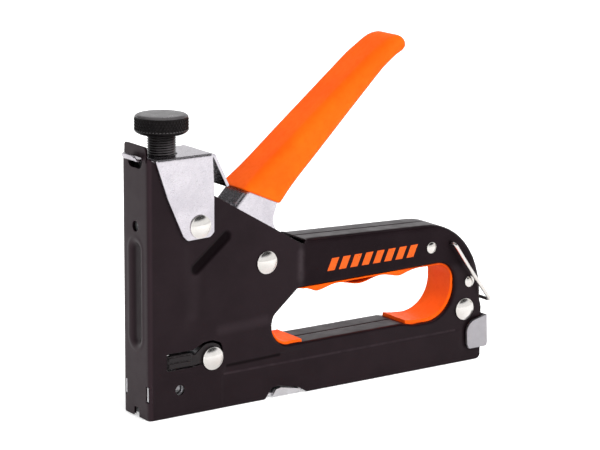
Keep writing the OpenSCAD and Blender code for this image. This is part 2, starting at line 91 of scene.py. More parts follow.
# side outlines: (x, z, corner radius)
SIDE_EDGE = [(57, 0, .8), (60.2, 4.4, 1), (63, 5, 1.2), (73.6, 2.9, 1.2), (78.2, 0, .8),
             (BODY_LEN, 0, 2.2), (BODY_LEN, 43.8, 35.5), (155.9, 63.7, 28.5), (77.4, 66.5, .6)]
BODY = [(0, 0, .8), *SIDE_EDGE, (77.1, 64.6, 0), (74.4, 65.7, 0), (0, 109.6, 0)]
FINGER = [(60.6, 22.1, 8.5), (129, 22.1, 7), (136, 20.6, 8), (157.6, 20.6, 15.2),
          (157.6, 46.6, 8.8), (74, 45.8, 3), (60.6, 34.6, 6)]
NOSE_CUT = [(8.5, 20, .4), (21.4, 20, .3), (25.2, 20.6, .5), (28, 19.2, 1), (33.5, 19.5, 2),
            (35.7, 24.5, 2), (35.1, 28.2, 3), (31, 30.0, 4), (26.5, 29.7, 4), (21, 27.2, .5),
            (8.5, 27.2, .4)]
NAIL_PAD = [(9.0, 20.4, .3), (21.3, 20.4, .3), (25.0, 20.85, .5), (28.1, 19.5, 1),
            (33.2, 19.8, 2), (35.3, 24.5, 2), (34.6, 27.4, 3), (31, 28.9, 4), (27, 28.6, 4),
            (22.0, 24.6, 1), (20.6, 25.95, .2), (9.0, 25.95, .3)]
SLEEVE = [(64.9, 83.3, 0), (117.2, 135.2, 12), (129.8, 144.9, 6), (136.2, 149.4, 3.2),
          (122, 149.0, 12), (110.5, 141.8, 18), (46.7, 91.3, 0)]
LEVER = [(43.1, 84.9, .8), (36, 66, 10), (31.5, 50, 5), (38, 44.5, 5), (52, 49.5, 6),
         (66.5, 51, 8), (67, 66, 6), (61.4, 76, 6), (64.1, 84.1, 2), (115.2, 134.9, 3),
         (109.5, 138.2, 3), (48.3, 90.2, 4)]
CHEEK = [(15.9, 76, 1.5), (18, 73.8, 1.5), (28.9, 74.2, 2.6), (30.8, 76, 1.2), (30.8, 94, 0),
         (30.1, 108.8, .8), (2.9, 108.8, .8), (8.7, 92.1, 0)]
EAR = [(165.1, 5.6, 1.4), (174.9, 5.6, 1.2), (175.9, 7, 1), (175.3, 20.4, .8),
       (163.6, 17.6, 5.5), (164.2, 8, 2)]

# centre lines of pressed shapes
GROOVE = ((22.8, 61.3), (37.5, 73.1))   # (x, z), on both sides
FRONT_RIB = ((0, 33.9), (0, 70.1))      # (y, z), on the front wall

# ------------------------------------------------------------------ outlines


def fillet(corner, before, after, radius):
    """Half the corner angle, the centre of its arc, and the arc's ends from that centre."""
    to_before, to_after = (before - corner).normalized(), (after - corner).normalized()
    half = math.acos(max(-1, min(1, to_before.dot(to_after)))) / 2
    centre = corner + (to_before + to_after).normalized() * (radius / math.sin(half))
    reach = radius / math.tan(half)
    return half, centre, corner + to_before * reach - centre, corner + to_after * reach - centre


def corner_arc(corner, before, after, radius, step):
    """Arc that rounds a flat corner between its neighbours, at most step degrees a piece."""
    corner = Vector(corner)
    if radius <= 0:
        return [tuple(corner)]
    half, centre, start, end = fillet(corner, Vector(before), Vector(after), radius)
    if half > math.pi / 2 - 1e-3:
        return [tuple(corner)]
    angle = math.atan2(start.y, start.x)
    turn = (math.atan2(end.y, end.x) - angle + 3 * math.pi) % (2 * math.pi) - math.pi
    n = max(2, math.ceil(abs(turn) / math.radians(step)))
    return [(centre.x + radius * math.cos(angle + turn * i / n),
             centre.y + radius * math.sin(angle + turn * i / n)) for i in range(n + 1)]


def rounded(corners, step=9):
    n, out = len(corners), []
    for i, corner in enumerate(corners):
        before, after = corners[i - 1][:2], corners[(i + 1) % n][:2]
        for point in corner_arc(corner[:2], before, after, corner[2], step):
            if not out or math.dist(out[-1], point) > 1e-4:
                out.append(point)
    if math.dist(out[0], out[-1]) < 1e-4:
        out.pop()
    return out


def resample(loop, longest):
    out, n = [], len(loop)
    for i in range(n):
        a, b = loop[i], loop[(i + 1) % n]
        k = max(1, math.ceil(math.dist(a, b) / longest))
        out += [(a[0] + (b[0] - a[0]) * j / k, a[1] + (b[1] - a[1]) * j / k) for j in range(k)]
    return out


def ccw(loop):
    here = np.array(loop)
    ahead = np.roll(here, -1, 0)
    area = float((here[:, 0] * ahead[:, 1] - here[:, 1] * ahead[:, 0]).sum() / 2)
    return list(loop) if area > 0 else list(reversed(loop))


def miter(loop):
    """Inward unit-offset vectors of a closed anticlockwise loop."""
    points = np.array(loop, float)
    normals = []
    for edge in (points - np.roll(points, 1, 0), np.roll(points, -1, 0) - points):
        edge /= np.linalg.norm(edge, axis=1)[:, None]
        normals.append(np.stack([-edge[:, 1], edge[:, 0]], 1))
    before, after = normals
    return (before + after) / np.maximum(1 + (before * after).sum(1), 0.35)[:, None]


def circle(centre, radius, n):
    return [(centre[0] + radius * math.cos(2 * math.pi * i / n),
             centre[1] + radius * math.sin(2 * math.pi * i / n)) for i in range(n)]


def inset(loop, distance):
    loop = ccw(loop)
    return [tuple(q) for q in np.array(loop, float) + miter(loop) * distance]


def inside(points, polygon):
    """Which points lie in a polygon."""
    points = np.asarray(points, float)
    a = np.asarray(polygon, float)[None]
    b = np.roll(a, -1, 1)
    out = np.zeros(len(points), bool)
    for i in range(0, len(points), 4000):
        x, z = points[i:i + 4000, 0, None], points[i:i + 4000, 1, None]
        spans = (a[..., 1] > z) != (b[..., 1] > z)
        with np.errstate(divide="ignore", invalid="ignore"):
            slope = (z - a[..., 1]) / (b[..., 1] - a[..., 1])
            crossing = a[..., 0] + slope * (b[..., 0] - a[..., 0])
        out[i:i + 4000] = ((spans & (x < crossing)).sum(1) % 2) == 1
    return out


def smooth(share):
    share = np.clip(share, 0, 1)
    return share * share * (3 - 2 * share)


def rise(value, start, length):
    """0 at start, easing to 1 a length further on; a negative length runs backwards."""
    return smooth((value - start) / length)


def fall(value, start, length):
    return 1 - rise(value, start, length)


# ------------------------------------------------------------------ mesh tools


def mesh_object(name, verts, faces, weld=True, sharp=38):
    mesh = bpy.data.meshes.new(name)
    mesh.from_pydata([place(*v) for v in verts], [], faces)
    bm = bmesh.new()
    bm.from_mesh(mesh)
    if weld:
        bmesh.ops.remove_doubles(bm, verts=bm.verts, dist=2e-6)
    bmesh.ops.recalc_face_normals(bm, faces=bm.faces)
    for face in bm.faces:
        face.smooth = True
    bm.to_mesh(mesh)
    bm.free()
    if sharp:
        mesh.set_sharp_from_angle(angle=math.radians(sharp))
    ob = bpy.data.objects.new(name, mesh)
    bpy.context.scene.collection.objects.link(ob)
    return ob


def weighted(ob):
    mod = ob.modifiers.new("normals", "WEIGHTED_NORMAL")
    mod.keep_sharp, mod.weight, mod.mode = True, 80, "FACE_AREA"
    return ob


def bake(ob):
    graph = bpy.context.evaluated_depsgraph_get()
    mesh = bpy.data.meshes.new_from_object(ob.evaluated_get(graph))
    ob.modifiers.clear()
    ob.data = mesh


def shade(ob, sharp):
    for face in ob.data.polygons:
        face.use_smooth = True
    ob.data.set_sharp_from_angle(angle=math.radians(sharp))


def boolean(ob, tools, operation="DIFFERENCE", sharp=38):
    for tool in tools:
        mod = ob.modifiers.new("cut", "BOOLEAN")
        mod.operation, mod.object, mod.solver = operation, tool, "MANIFOLD"
    bake(ob)
    for tool in tools:
        bpy.data.objects.remove(tool)
    # the solver leaves an open mesh empty without an error
    if len(ob.data.polygons) < 50:
        raise RuntimeError("a cut emptied " + ob.name)
    shade(ob, sharp)


def band(first, second):
    """Quads between two closed rows of vertex numbers."""
    n = len(first)
    return [(first[i], first[(i + 1) % n], second[(i + 1) % n], second[i]) for i in range(n)]


def quarter_round(seg):
    """(inset, depth) shares of a quarter round, from the flat face to the side."""
    angles = [k / seg * math.pi / 2 for k in range(seg + 1)]
    return [(1 - math.sin(angle), 1 - math.cos(angle)) for angle in angles]


def prism_data(outer, near, far, edge, holes=(), seg=2, step=3.0, warp=None,
               to=lambda x, z, y: (x, y, z)):
    """A plate between near and far with rounded edges.

    edge is a radius, or a function of a point that gives one; step is the longest side piece.
    """
    verts, faces, caps = [], [], ([], [])
    levels = quarter_round(seg)
    for j, loop in enumerate([outer, *holes]):
        loop = ccw(resample(loop, step))
        inward = miter(loop) * (1 if j == 0 else -1)
        radius = np.array([edge(p) if callable(edge) else edge for p in loop])
        points = np.array(loop)
        rings = [(shift, far - radius * depth) for shift, depth in levels]
        rings += [(shift, near + radius * depth) for shift, depth in reversed(levels)]
        rows = []
        for shift, height in rings:
            moved = points + inward * (radius * shift)[:, None]
            rows.append(list(range(len(verts), len(verts) + len(loop))))
            verts += [(p[0], p[1], h) for p, h in zip(moved, height)]
        for first, second in zip(rows, rows[1:]):
            faces += band(first, second)
        caps[0].append(rows[0])
        caps[1].append(rows[-1])
    for cap in caps:
        flat = [i for row in cap for i in row]
        triangles = tessellate_polygon([[Vector((*verts[i][:2], 0)) for i in row] for row in cap])
        faces += [tuple(flat[i] for i in triangle) for triangle in triangles]
    if warp:
        verts = [warp(*v) for v in verts]
    return [to(*v) for v in verts], faces


def prism(name, outer, near, far, sharp=38, **shape):
    return mesh_object(name, *prism_data(outer, near, far, **shape), sharp=sharp)


def block(corners, near, far, **shape):
    """A prism that is used up in a boolean."""
    return prism("block", rounded(corners), near, far, **shape)


def join(parts):
    verts, faces = [], []
    for part_verts, part_faces in parts:
        base = len(verts)
        verts += part_verts
        faces += [tuple(base + i for i in face) for face in part_faces]
    return verts, faces


def lathe_data(profile, n, to, relief=None):
    """A profile [(radius, height)] turned about its axis; a zero radius closes the end.

    to(x, y, height) places a point; relief(radius, angle, height) alters its radius.
    """
    verts, faces, rows = [], [], []
    for radius, height in profile:
        if radius < 1e-6:
            rows.append([len(verts)])
            verts.append(to(0, 0, height))
            continue
        rows.append([len(verts) + i for i in range(n)])
        for i in range(n):
            angle = 2 * math.pi * i / n
            r = relief(radius, angle, height) if relief else radius
            verts.append(to(r * math.cos(angle), r * math.sin(angle), height))
    for first, second in zip(rows, rows[1:]):
        if len(first) == len(second) == n:
            faces += band(first, second)
        elif len(second) == n:
            faces += [(first[0], second[i], second[(i + 1) % n]) for i in range(n)]
        elif len(first) == n:
            faces += [(first[i], first[(i + 1) % n], second[0]) for i in range(n)]
    return verts, faces


def upright(x, y, z):
    return KNOB_X + x, y, z


def crosswise(centre):
    """Places a turned part on an axis across the tool through centre (x, z)."""
    return lambda x, z, y: (centre[0] + x, y, centre[1] + z)


def cylinder(radius, low, high, n, to):
    """A plain cylinder that is used up in a boolean."""
    profile = [(0, low), (radius, low), (radius, high), (0, high)]
    return mesh_object("cylinder", *lathe_data(profile, n, to))


def wire(name, path, radius, sides):
    """Round wire along a path, with domed ends."""
    points = np.array(path, float)
    ahead = np.gradient(points, axis=0)
    ahead /= np.linalg.norm(ahead, axis=1)[:, None]
    up = np.array([0.0, 1, 0]) if abs(ahead[0][1]) < 0.9 else np.array([0.0, 0, 1])
    rings, verts, faces = [], [], []
    normal = np.cross(ahead[0], up)
    normal /= np.linalg.norm(normal)

    def ring(centre, direction, size):
        binormal = np.cross(direction, normal)
        rings.append([len(verts) + i for i in range(sides)])
        for i in range(sides):
            angle = 2 * math.pi * i / sides
            verts.append(tuple(centre + size * (math.cos(angle) * normal
                                                + math.sin(angle) * binormal)))

    dome = ((0.45, 0.55), (0.85, 0.25))  # shares of the radius: ring size, reach past the end
    for size, reach in dome:
        ring(points[0] - ahead[0] * radius * reach, ahead[0], radius * size)
    for point, direction in zip(points, ahead):
        normal = normal - direction * (normal @ direction)
        normal /= np.linalg.norm(normal)
        ring(point, direction, radius)
    for size, reach in reversed(dome):
        ring(points[-1] + ahead[-1] * radius * reach, ahead[-1], radius * size)
    for first, second in zip(rings, rings[1:]):
        faces += band(first, second)
    faces += [tuple(rings[0]), tuple(rings[-1])]
    return mesh_object(name, verts, faces, sharp=0)


def bent_path(points, radius, step):
    """A 3-D path with its corners turned at a radius, in steps of so many degrees."""
    points = [Vector(p) for p in points]
    out = [points[0]]
    for before, corner, after in zip(points, points[1:], points[2:]):
        half, centre, start, end = fillet(corner, before, after, radius)
        turn = math.pi - 2 * half
        n = max(2, math.ceil(turn / math.radians(step)))
        out += [centre + (start * math.sin(turn * (1 - i / n)) + end * math.sin(turn * i / n))
                / math.sin(turn) for i in range(n + 1)]
    out.append(points[-1])
    full = [out[0]]
    for a, b in zip(out, out[1:]):
        k = max(1, math.ceil((b - a).length / 3.0))
        full += [a + (b - a) * (i / k) for i in range(1, k + 1)]
    return [tuple(q) for q in full]


def helix(start, axis, radius, turns, length, wire_radius, seg, closed):
    """Coil along 'x' or 'z' from start; its first closed turns are drawn together."""
    n, out = int(turns * seg), []
    x, y, z = start
    for i in range(n + 1):
        k = turns * i / n
        share = float(smooth(k / closed)) * k / turns if k < closed else k / turns
        along = wire_radius + (length - 2 * wire_radius) * share
        cos, sin = radius * math.cos(2 * math.pi * k), radius * math.sin(2 * math.pi * k)
        out.append((x + along, y + cos, z + sin) if axis == "x" else (x + cos, y + sin, z + along))
    return out


def add(ob, body, node, slot, material=None):
    """Hands a piece to the frame; material is the slot's own unless another is named."""
    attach(ob, body)
    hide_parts(node)
    ob.data.materials.clear()
    ob.data.materials.append(MATERIALS[material or slot])


# ------------------------------------------------------------------ materials


class Nodes:
    """A node tree; calling it adds a node with its inputs and properties."""

    def __init__(self, owner, output):
        owner.use_nodes = True
        self.tree = owner.node_tree
        self.tree.nodes.clear()
        self.out = self(output)

    def __call__(self, kind, inputs=None, **props):
        node = self.tree.nodes.new(kind)
        for key, value in props.items():
            setattr(node, key, value)
        for key, value in (inputs or {}).items():
            socket = node.inputs[key]
            if isinstance(value, bpy.types.NodeSocket):
                self.tree.links.new(value, socket)
            elif socket.type == "RGBA" and len(value) == 3:
                socket.default_value = (*value, 1.0)
            else:
                socket.default_value = value
        return node

    def output(self, shader):
        self.tree.links.new(shader, self.out.inputs[0])

    def mix(self, share, a, b):
        return self("ShaderNodeMix", {0: share, 6: a, 7: b}, data_type="RGBA").outputs[2]


class Surface(Nodes):
    """A material whose patterns are laid out in mm of object space."""

    def __init__(self, name):
        self.material = bpy.data.materials.new(name)
        super().__init__(self.material, "ShaderNodeOutputMaterial")
        coord = self("ShaderNodeTexCoord").outputs["Object"]
        self.mm = self("ShaderNodeVectorMath", {0: coord, "Scale": 1000.0},
                       operation="SCALE").outputs[0]

    def math(self, operation, a, b=0.0, c=0.0, clamp=False):
        return self("ShaderNodeMath", {0: a, 1: b, 2: c}, operation=operation,
                    use_clamp=clamp).outputs[0]

    def add(self, a, b):
        return self.math("ADD", a, b)

    def sub(self, a, b):
        return self.math("SUBTRACT", a, b)

    def mul(self, a, b, clamp=False):
        return self.math("MULTIPLY", a, b, clamp=clamp)

    def most(self, a, b):
        return self.math("MAXIMUM", a, b)

    def size(self, a):
        return self.math("ABSOLUTE", a)

    def scaled(self, a, times, plus, clamp=False):
        return self.math("MULTIPLY_ADD", a, times, plus, clamp)

    def hypot(self, a, b):
        return self.math("SQRT", self.scaled(a, times=a, plus=self.mul(b, b)))

    def xyz(self, vector):
        return self("ShaderNodeSeparateXYZ", {0: vector}).outputs

    def stretch(self, factors):
        return self("ShaderNodeVectorMath", {0: self.mm, 1: factors}, operation="MULTIPLY").outputs[0]

    def noise(self, scale, detail=3.0, rough=0.55, vector=None):
        return self("ShaderNodeTexNoise", {"Vector": vector or self.mm, "Scale": scale,
                                           "Detail": detail, "Roughness": rough}).outputs[0]

    def ramp(self, value, over, to=(0.0, 1.0)):
        """Smooth step from to[0] to to[1] as value runs over a range."""
        return self("ShaderNodeMapRange", {0: value, 1: over[0], 2: over[1], 3: to[0], 4: to[1]},
                    clamp=True, interpolation_type="SMOOTHSTEP").outputs[0]

    def near(self, x, z, line, over):
        """Ramp over the distance from a segment in a plane, in mm."""
        a, b = line
        dx, dz = b[0] - a[0], b[1] - a[1]
        px, pz = self.sub(x, a[0]), self.sub(z, a[1])
        k = 1.0 / (dx * dx + dz * dz)
        along = self.scaled(pz, times=dz * k, plus=self.mul(px, dx * k), clamp=True)
        off_x = self.scaled(along, times=-dx, plus=px)
        off_z = self.scaled(along, times=-dz, plus=pz)
        return self.ramp(self.hypot(off_x, off_z), over)

    def facing_up(self, over):
        normal = self("ShaderNodeNewGeometry").outputs["True Normal"]
        return self.ramp(self.xyz(normal)[2], over)

    def bevel(self, radius):
        return self("ShaderNodeBevel", {"Radius": radius * MM}, samples=4).outputs[0]

    def edge(self, radius):
        """1 along outside edges, 0 on flats."""
        normal = self("ShaderNodeNewGeometry").outputs["Normal"]
        agree = self("ShaderNodeVectorMath", {0: self.bevel(radius), 1: normal},
                     operation="DOT_PRODUCT").outputs["Value"]
        return self.ramp(agree, (0.995, 0.80))

    def finish(self, bump, bevel=None, **inputs):
        """Principled shader; bump lists (height, depth in mm, strength)."""
        normal = {"Normal": self.bevel(bevel)} if bevel else {}
        for height, depth, strength in bump:
            layer = {"Height": height, "Distance": depth * MM, "Strength": strength, **normal}
            normal = {"Normal": self("ShaderNodeBump", layer).outputs[0]}
        inputs = {key.replace("_", " "): value for key, value in inputs.items()}
        self.output(self("ShaderNodeBsdfPrincipled", {**normal, **inputs}).outputs[0])
        return self.material


def body_paint():
    """Near-black paint with worn edges, dust and orange bars printed on the grip; painted shade in
    the grooves and on the grip side, painted highlights along bends, on upward faces and on the front
    wall.
    """
    mat = Surface("body_paint_graphic")
    peel = mat.noise(scale=1.1, detail=2, rough=0.5)
    grit = mat.noise(scale=5.5, rough=0.6)
    base = mat.mix(mat.ramp(mat.noise(scale=0.06), (0.3, 0.7)),
                   (0.0050, 0.0026, 0.0034), (0.0080, 0.0046, 0.0058))
    # rubbed thin along the edges, in patches
    patches = mat.ramp(mat.noise(scale=0.55, detail=4, rough=0.65), (0.47, 0.68))
    worn = mat.mul(mat.edge(radius=0.5), patches, clamp=True)
    base = mat.mix(mat.mul(worn, 0.55), base, (0.10, 0.092, 0.092))
    dust = mat.mul(mat.ramp(mat.noise(scale=2.6, detail=2, rough=0.5), (0.69, 0.76)), 0.25)
    base = mat.mix(dust, base, (0.055, 0.048, 0.05))
    smear = mat.noise(scale=0.16, detail=4, rough=0.6)
    rough = mat.add(mat.ramp(smear, (0.3, 0.75), to=(0.27, 0.37)), mat.mul(grit, 0.05))
    rough = mat.add(rough, mat.mul(dust, 0.5))
    x, y, z = mat.xyz(mat.mm)
    x = mat.sub(x, NOSE * 1000)
    on_side = mat.ramp(mat.size(y), (8.0, 8.6))

    def side_line(line, over):
        return mat.mul(mat.near(x, z, line, over), on_side)

    # painted shade in the pressed grooves: the side groove, the front rib, the line above the
    # magazine
    groove = side_line(GROOVE, (3.4, 1.4))
    rib = mat.mul(mat.near(y, z, FRONT_RIB, (4.0, 2.2)), mat.ramp(x, (4.0, 3.0)))
    crease = side_line(((38, 17.9), (64, 18.5)), (1.2, 0.2))
    groove_shade = mat.most(groove, mat.most(mat.mul(rib, 0.45), mat.mul(crease, 0.85)))
    # painted highlights along the bends and the edges of the middle panel, in patches
    low = side_line(((36.5, 14.6), (158, 15.0)), (0.75, 0.15))
    grip_step = side_line(((75.2, 50.5), (75.2, 61.0)), (3.2, 0.2))
    panel_low = side_line(((34.5, 33.6), (57.5, 34.6)), (3.4, 0.2))
    panel_front = side_line(((21.5, 42.0), (22.5, 58.0)), (4.5, 0.2))
    patch = mat.ramp(mat.noise(scale=0.25, detail=4, rough=0.6), (0.35, 0.6), to=(0.55, 1.0))
    soft = mat.most(mat.mul(panel_low, 0.26), mat.mul(panel_front, 0.14))
    painted_highlight = mat.mul(mat.most(mat.mul(low, 0.40), mat.mul(grip_step, 0.5)), patch)
    painted_highlight = mat.most(painted_highlight, soft)
    # grip side painted darker and upward faces painted lighter, through the specular level
    grip = mat.mul(mat.mul(mat.ramp(x, (75.0, 78.5)), mat.ramp(z, (43.0, 46.0))), on_side)
    top = mat.mul(mat.facing_up((0.45, 0.8)), mat.ramp(x, (74.0, 80.0)))
    # specular level: up for the painted highlights and the painted light on upward faces and the
    # front wall, down for the painted shade in grooves and on the grip side
    spec = mat.scaled(painted_highlight, times=0.50, plus=0.18)
    spec = mat.mul(spec, mat.scaled(groove_shade, times=-0.8, plus=1.0))
    spec = mat.mul(spec, mat.scaled(grip, times=-0.5, plus=1.0))
    spec = mat.scaled(top, times=0.36, plus=spec)
    # painted light on the front wall: lighter colour and more specular, less so in its rib
    front = mat.ramp(x, (2.4, 0.8))
    spec = mat.scaled(front, times=mat.scaled(groove_shade, times=-0.1, plus=0.12), plus=spec)
    lit_front = mat.mul(front, mat.scaled(groove_shade, times=-1.0, plus=1.0))
    base = mat.mix(lit_front, base, (0.0125, 0.0062, 0.0082))
    # painted shade: the grooves darkened in colour
    base = mat.mix(mat.mul(groove_shade, 0.7), base, (0.0016, 0.0010, 0.0012))
    # slanted bars, 6 mm apart, about x 113, z 54
    along = mat.sub(x, 113.0)
    across = mat.sub(z, mat.scaled(along, times=0.004, plus=54.0))
    slant = mat.scaled(across, times=-0.45, plus=along)
    phase = mat.math("FRACT", mat.math("DIVIDE", mat.add(slant, 198.0), 6.0))
    bars = mat.ramp(mat.size(mat.sub(phase, 0.5)), (0.325, 0.305))
    height = mat.ramp(mat.size(across), (2.72, 2.6))
    ends = mat.ramp(mat.size(slant), (23.95, 23.75))
    sides = mat.ramp(mat.size(y), (8.5, 8.7))
    ink = mat.mul(mat.mul(bars, height), mat.mul(ends, sides))
    blotch = mat.mul(mat.noise(scale=0.35, detail=2), 0.25)
    chips = mat.add(mat.noise(scale=1.9, detail=5, rough=0.7), blotch)
    ink = mat.mul(ink, mat.ramp(chips, (0.80, 0.74)))
    ink_tone = mat.mix(mat.noise(scale=0.9), (0.62, 0.085, 0.010), (0.78, 0.125, 0.016))
    return mat.finish(bump=[(peel, 0.010, 0.55), (grit, 0.003, 0.5)],
                      Base_Color=mat.mix(ink, base, ink_tone),
                      Roughness=mat.scaled(ink, times=0.12, plus=rough),
                      Specular_IOR_Level=spec, Specular_Tint=(1.0, 0.74, 0.85))


def plated(name, tones, rough, brush, scratch, bevel=None, stain=0.0, metallic=1.0):
    """Brushed metal. brush stretches the grain per axis, scratch is its bump strength."""
    mat = Surface(name)
    brushed = mat.noise(scale=1.0, detail=4, rough=0.6, vector=mat.stretch(brush))
    cloud = mat.noise(scale=0.12, detail=4, rough=0.6)
    fine = mat.noise(scale=7.0, rough=0.6)
    base = mat.mix(mat.ramp(cloud, (0.32, 0.7)), *tones)
    if stain:
        spots = mat.ramp(mat.noise(scale=0.5, detail=5, rough=0.7), (0.56, 0.72))
        base = mat.mix(mat.mul(spots, stain), base, tuple(0.62 * v for v in tones[0]))
    lines = mat("ShaderNodeTexWave", {"Vector": mat.stretch(tuple(v * 0.4 for v in brush)),
                                      "Scale": 0.9, "Distortion": 14.0, "Detail": 4.0,
                                      "Detail Scale": 2.0}, wave_type="BANDS").outputs[1]
    hair = mat.ramp(lines, (0.93, 1.0))
    gloss = mat.add(mat.ramp(cloud, (0.25, 0.75), to=rough), mat.mul(brushed, 0.10))
    gloss = mat.add(gloss, mat.mul(hair, 0.10))
    return mat.finish(bump=[(brushed, 0.006, scratch), (fine, 0.002, 0.4), (hair, -0.004, 0.3)],
                      bevel=bevel, Base_Color=base, Roughness=gloss, Metallic=metallic)


def orange(name, grain, rough, painted_shade):
    """Soft orange plastic; grain is the scale of its pebbling, and the last argument darkens its
    colour as painted shade.
    """
    mat = Surface(name)
    mid = mat.noise(scale=0.5, detail=4, rough=0.6)
    cells = mat("ShaderNodeTexVoronoi", {"Vector": mat.mm, "Scale": grain},
                feature="SMOOTH_F1").outputs[0]
    fine = mat.noise(scale=grain * 2.2, rough=0.65)
    base = mat.mix(mat.ramp(mat.noise(scale=0.05), (0.3, 0.7)),
                   (0.93, 0.100, 0.0026), (1.0, 0.126, 0.0034))
    base = mat.mix(mat.mul(mat.ramp(mid, (0.45, 0.75)), 0.35), base, (0.84, 0.075, 0.0020))
    base = mat.mix(mat.mul(mat.ramp(fine, (0.60, 0.80)), 0.30), base, (1.0, 0.18, 0.012))
    # painted shade: the colour darkened by the last argument
    base = mat.mix(painted_shade, base, (0.35, 0.02, 0.0008))
    gloss = mat.add(mat.ramp(mid, (0.3, 0.7), to=(rough - 0.05, rough + 0.07)),
                    mat.mul(fine, 0.08))
    return mat.finish(bump=[(mid, 0.05, 0.25), (cells, 0.025, 0.5), (fine, 0.014, 0.5)],
                      Base_Color=base, Roughness=gloss, Subsurface_Weight=0.06,
                      Subsurface_Radius=(1.0, 0.35, 0.1), Subsurface_Scale=0.0012,
                      Specular_IOR_Level=0.08)


def black_oxide():
    """Blackened knob, finely turned on its top, with a painted highlight there: upward faces are
    paler and more specular.
    """
    mat = Surface("black_oxide")
    cloud = mat.noise(scale=0.2, detail=4, rough=0.6)
    fine = mat.noise(scale=4.0, rough=0.6)
    x, y, _ = mat.xyz(mat.mm)
    from_axis = mat.hypot(mat.sub(x, NOSE * 1000 + KNOB_X), y)
    turned = mat.math("SINE", mat.mul(mat.scaled(fine, times=0.25, plus=from_axis), 14.0))
    top = mat.facing_up((0.35, 0.9))
    base = mat.mix(mat.ramp(cloud, (0.3, 0.7)),
                   (0.0040, 0.0032, 0.0034), (0.0075, 0.0060, 0.0062))
    # painted highlight: upward faces paler here and more specular below
    base = mat.mix(mat.mul(top, 0.8), base, (0.085, 0.078, 0.082))
    patches = mat.ramp(mat.noise(scale=0.8, detail=4, rough=0.6), (0.48, 0.66))
    worn = mat.mul(mat.edge(radius=0.25), patches)
    base = mat.mix(mat.mul(worn, 0.25), base, (0.17, 0.16, 0.16))
    gloss = mat.add(mat.ramp(cloud, (0.3, 0.7), to=(0.22, 0.32)), mat.mul(fine, 0.08))
    return mat.finish(bump=[(fine, 0.008, 0.5), (mat.mul(turned, top), 0.002, 0.5)],
                      Base_Color=base, Roughness=gloss,
                      Specular_IOR_Level=mat.scaled(top, times=0.87, plus=0.09))


def dark(name, tones, rough, spec, bevel=None, wear=0.0):
    """Plain dark surface; wear is how far its edges are rubbed pale."""
    mat = Surface(name)
    cloud = mat.noise(scale=0.2, detail=4, rough=0.6)
    fine = mat.noise(scale=3.0, rough=0.6)
    base = mat.mix(mat.ramp(cloud, (0.3, 0.7)), *tones)
    if wear:
        patches = mat.ramp(mat.noise(scale=0.8, detail=4, rough=0.6), (0.42, 0.62))
        worn = mat.mul(mat.edge(radius=0.3), patches)
        base = mat.mix(mat.mul(worn, wear), base, (0.22, 0.205, 0.2))
    gloss = mat.add(mat.ramp(cloud, (0.3, 0.7), to=rough), mat.mul(fine, 0.08))
    return mat.finish(bump=[(fine, 0.008, 0.5)], bevel=bevel, Base_Color=base, Roughness=gloss,
                      Specular_IOR_Level=spec)


MATERIALS = {
    "body_paint": body_paint(),
    "zinc": plated("zinc", tones=((0.57, 0.54, 0.585), (0.69, 0.655, 0.70)), rough=(0.13, 0.22),
                   brush=(0.25, 0.8, 2.6), scratch=0.26, stain=0.30),
    "zinc_cad": plated("zinc_cad", tones=((0.66, 0.65, 0.67), (0.78, 0.77, 0.79)),
                       rough=(0.24, 0.36), brush=(0.2, 1.6, 1.6), bevel=0.18, scratch=0.4,
                       stain=0.2),
    "satin_zinc": plated("satin_zinc", tones=((0.44, 0.425, 0.45), (0.51, 0.495, 0.52)),
                         rough=(0.36, 0.46), brush=(0.6, 2.5, 0.9), scratch=0.5, stain=0.15),
    "nickel": plated("nickel", tones=((0.80, 0.77, 0.73), (0.88, 0.85, 0.82)),
                     rough=(0.07, 0.14), brush=(1.2, 1.2, 1.2), scratch=0.35, stain=0.10),
    "spring_steel": plated("spring_steel", tones=((0.36, 0.36, 0.38), (0.47, 0.47, 0.49)),
                           rough=(0.25, 0.38), brush=(1.5, 1.5, 1.5), scratch=0.4, stain=0.35),
    "tool_steel": plated("tool_steel", tones=((0.40, 0.40, 0.42), (0.52, 0.52, 0.54)),
                         rough=(0.28, 0.40), brush=(0.3, 1.8, 1.8), bevel=0.15, scratch=0.5,
                         stain=0.3),
    "rubber": dark("rubber", tones=((0.018, 0.017, 0.017), (0.03, 0.029, 0.028)),
                   rough=(0.62, 0.75), spec=0.5, bevel=0.3),
    "orange_grip": orange("orange_grip", grain=1.5, rough=0.50, painted_shade=0.0),
    # the liner's colour is darkened as painted shade
    "orange_liner": orange("orange_liner", grain=2.2, rough=0.36, painted_shade=0.2),
    "black_oxide": black_oxide(),
    "blade": plated("blade_steel", tones=((0.66, 0.66, 0.68), (0.76, 0.76, 0.78)),
                    rough=(0.42, 0.52), brush=(1.5, 2.5, 0.2), bevel=0.1, scratch=0.6,
                    metallic=0.7),
    "black_lever": dark("black_lever", tones=((0.0065, 0.0042, 0.0050), (0.0105, 0.0070, 0.0080)),
                        rough=(0.28, 0.38), spec=0.30, wear=0.5),
}

# ------------------------------------------------------------------ housing
# The sheet is laid out flat (across, z), bent round the front wall and given thickness.

BEND = 1.5                                # outer radius of the front bends
FLAT = HALF_W - BEND                      # flat half width of the front wall
SIDE_START = FLAT + BEND * math.pi / 2    # where the sides begin in the unfolded sheet
RIM_BEND, FINGER_BEND, RAW_EDGE = 2.2, 1.25, 0.16  # edge radii


def unfold(x):
    return x - BEND + SIDE_START


def side_x(across):
    return np.abs(across) - SIDE_START + BEND


def from_segment(x, z, line):
    """Distance of each point from a segment."""
    start, end = np.array(line, float)
    run = end - start
    px, pz = x - start[0], z - start[1]
    share = np.clip((px * run[0] + pz * run[1]) / (run @ run), 0, 1)
    return np.hypot(px - share * run[0], pz - share * run[1])


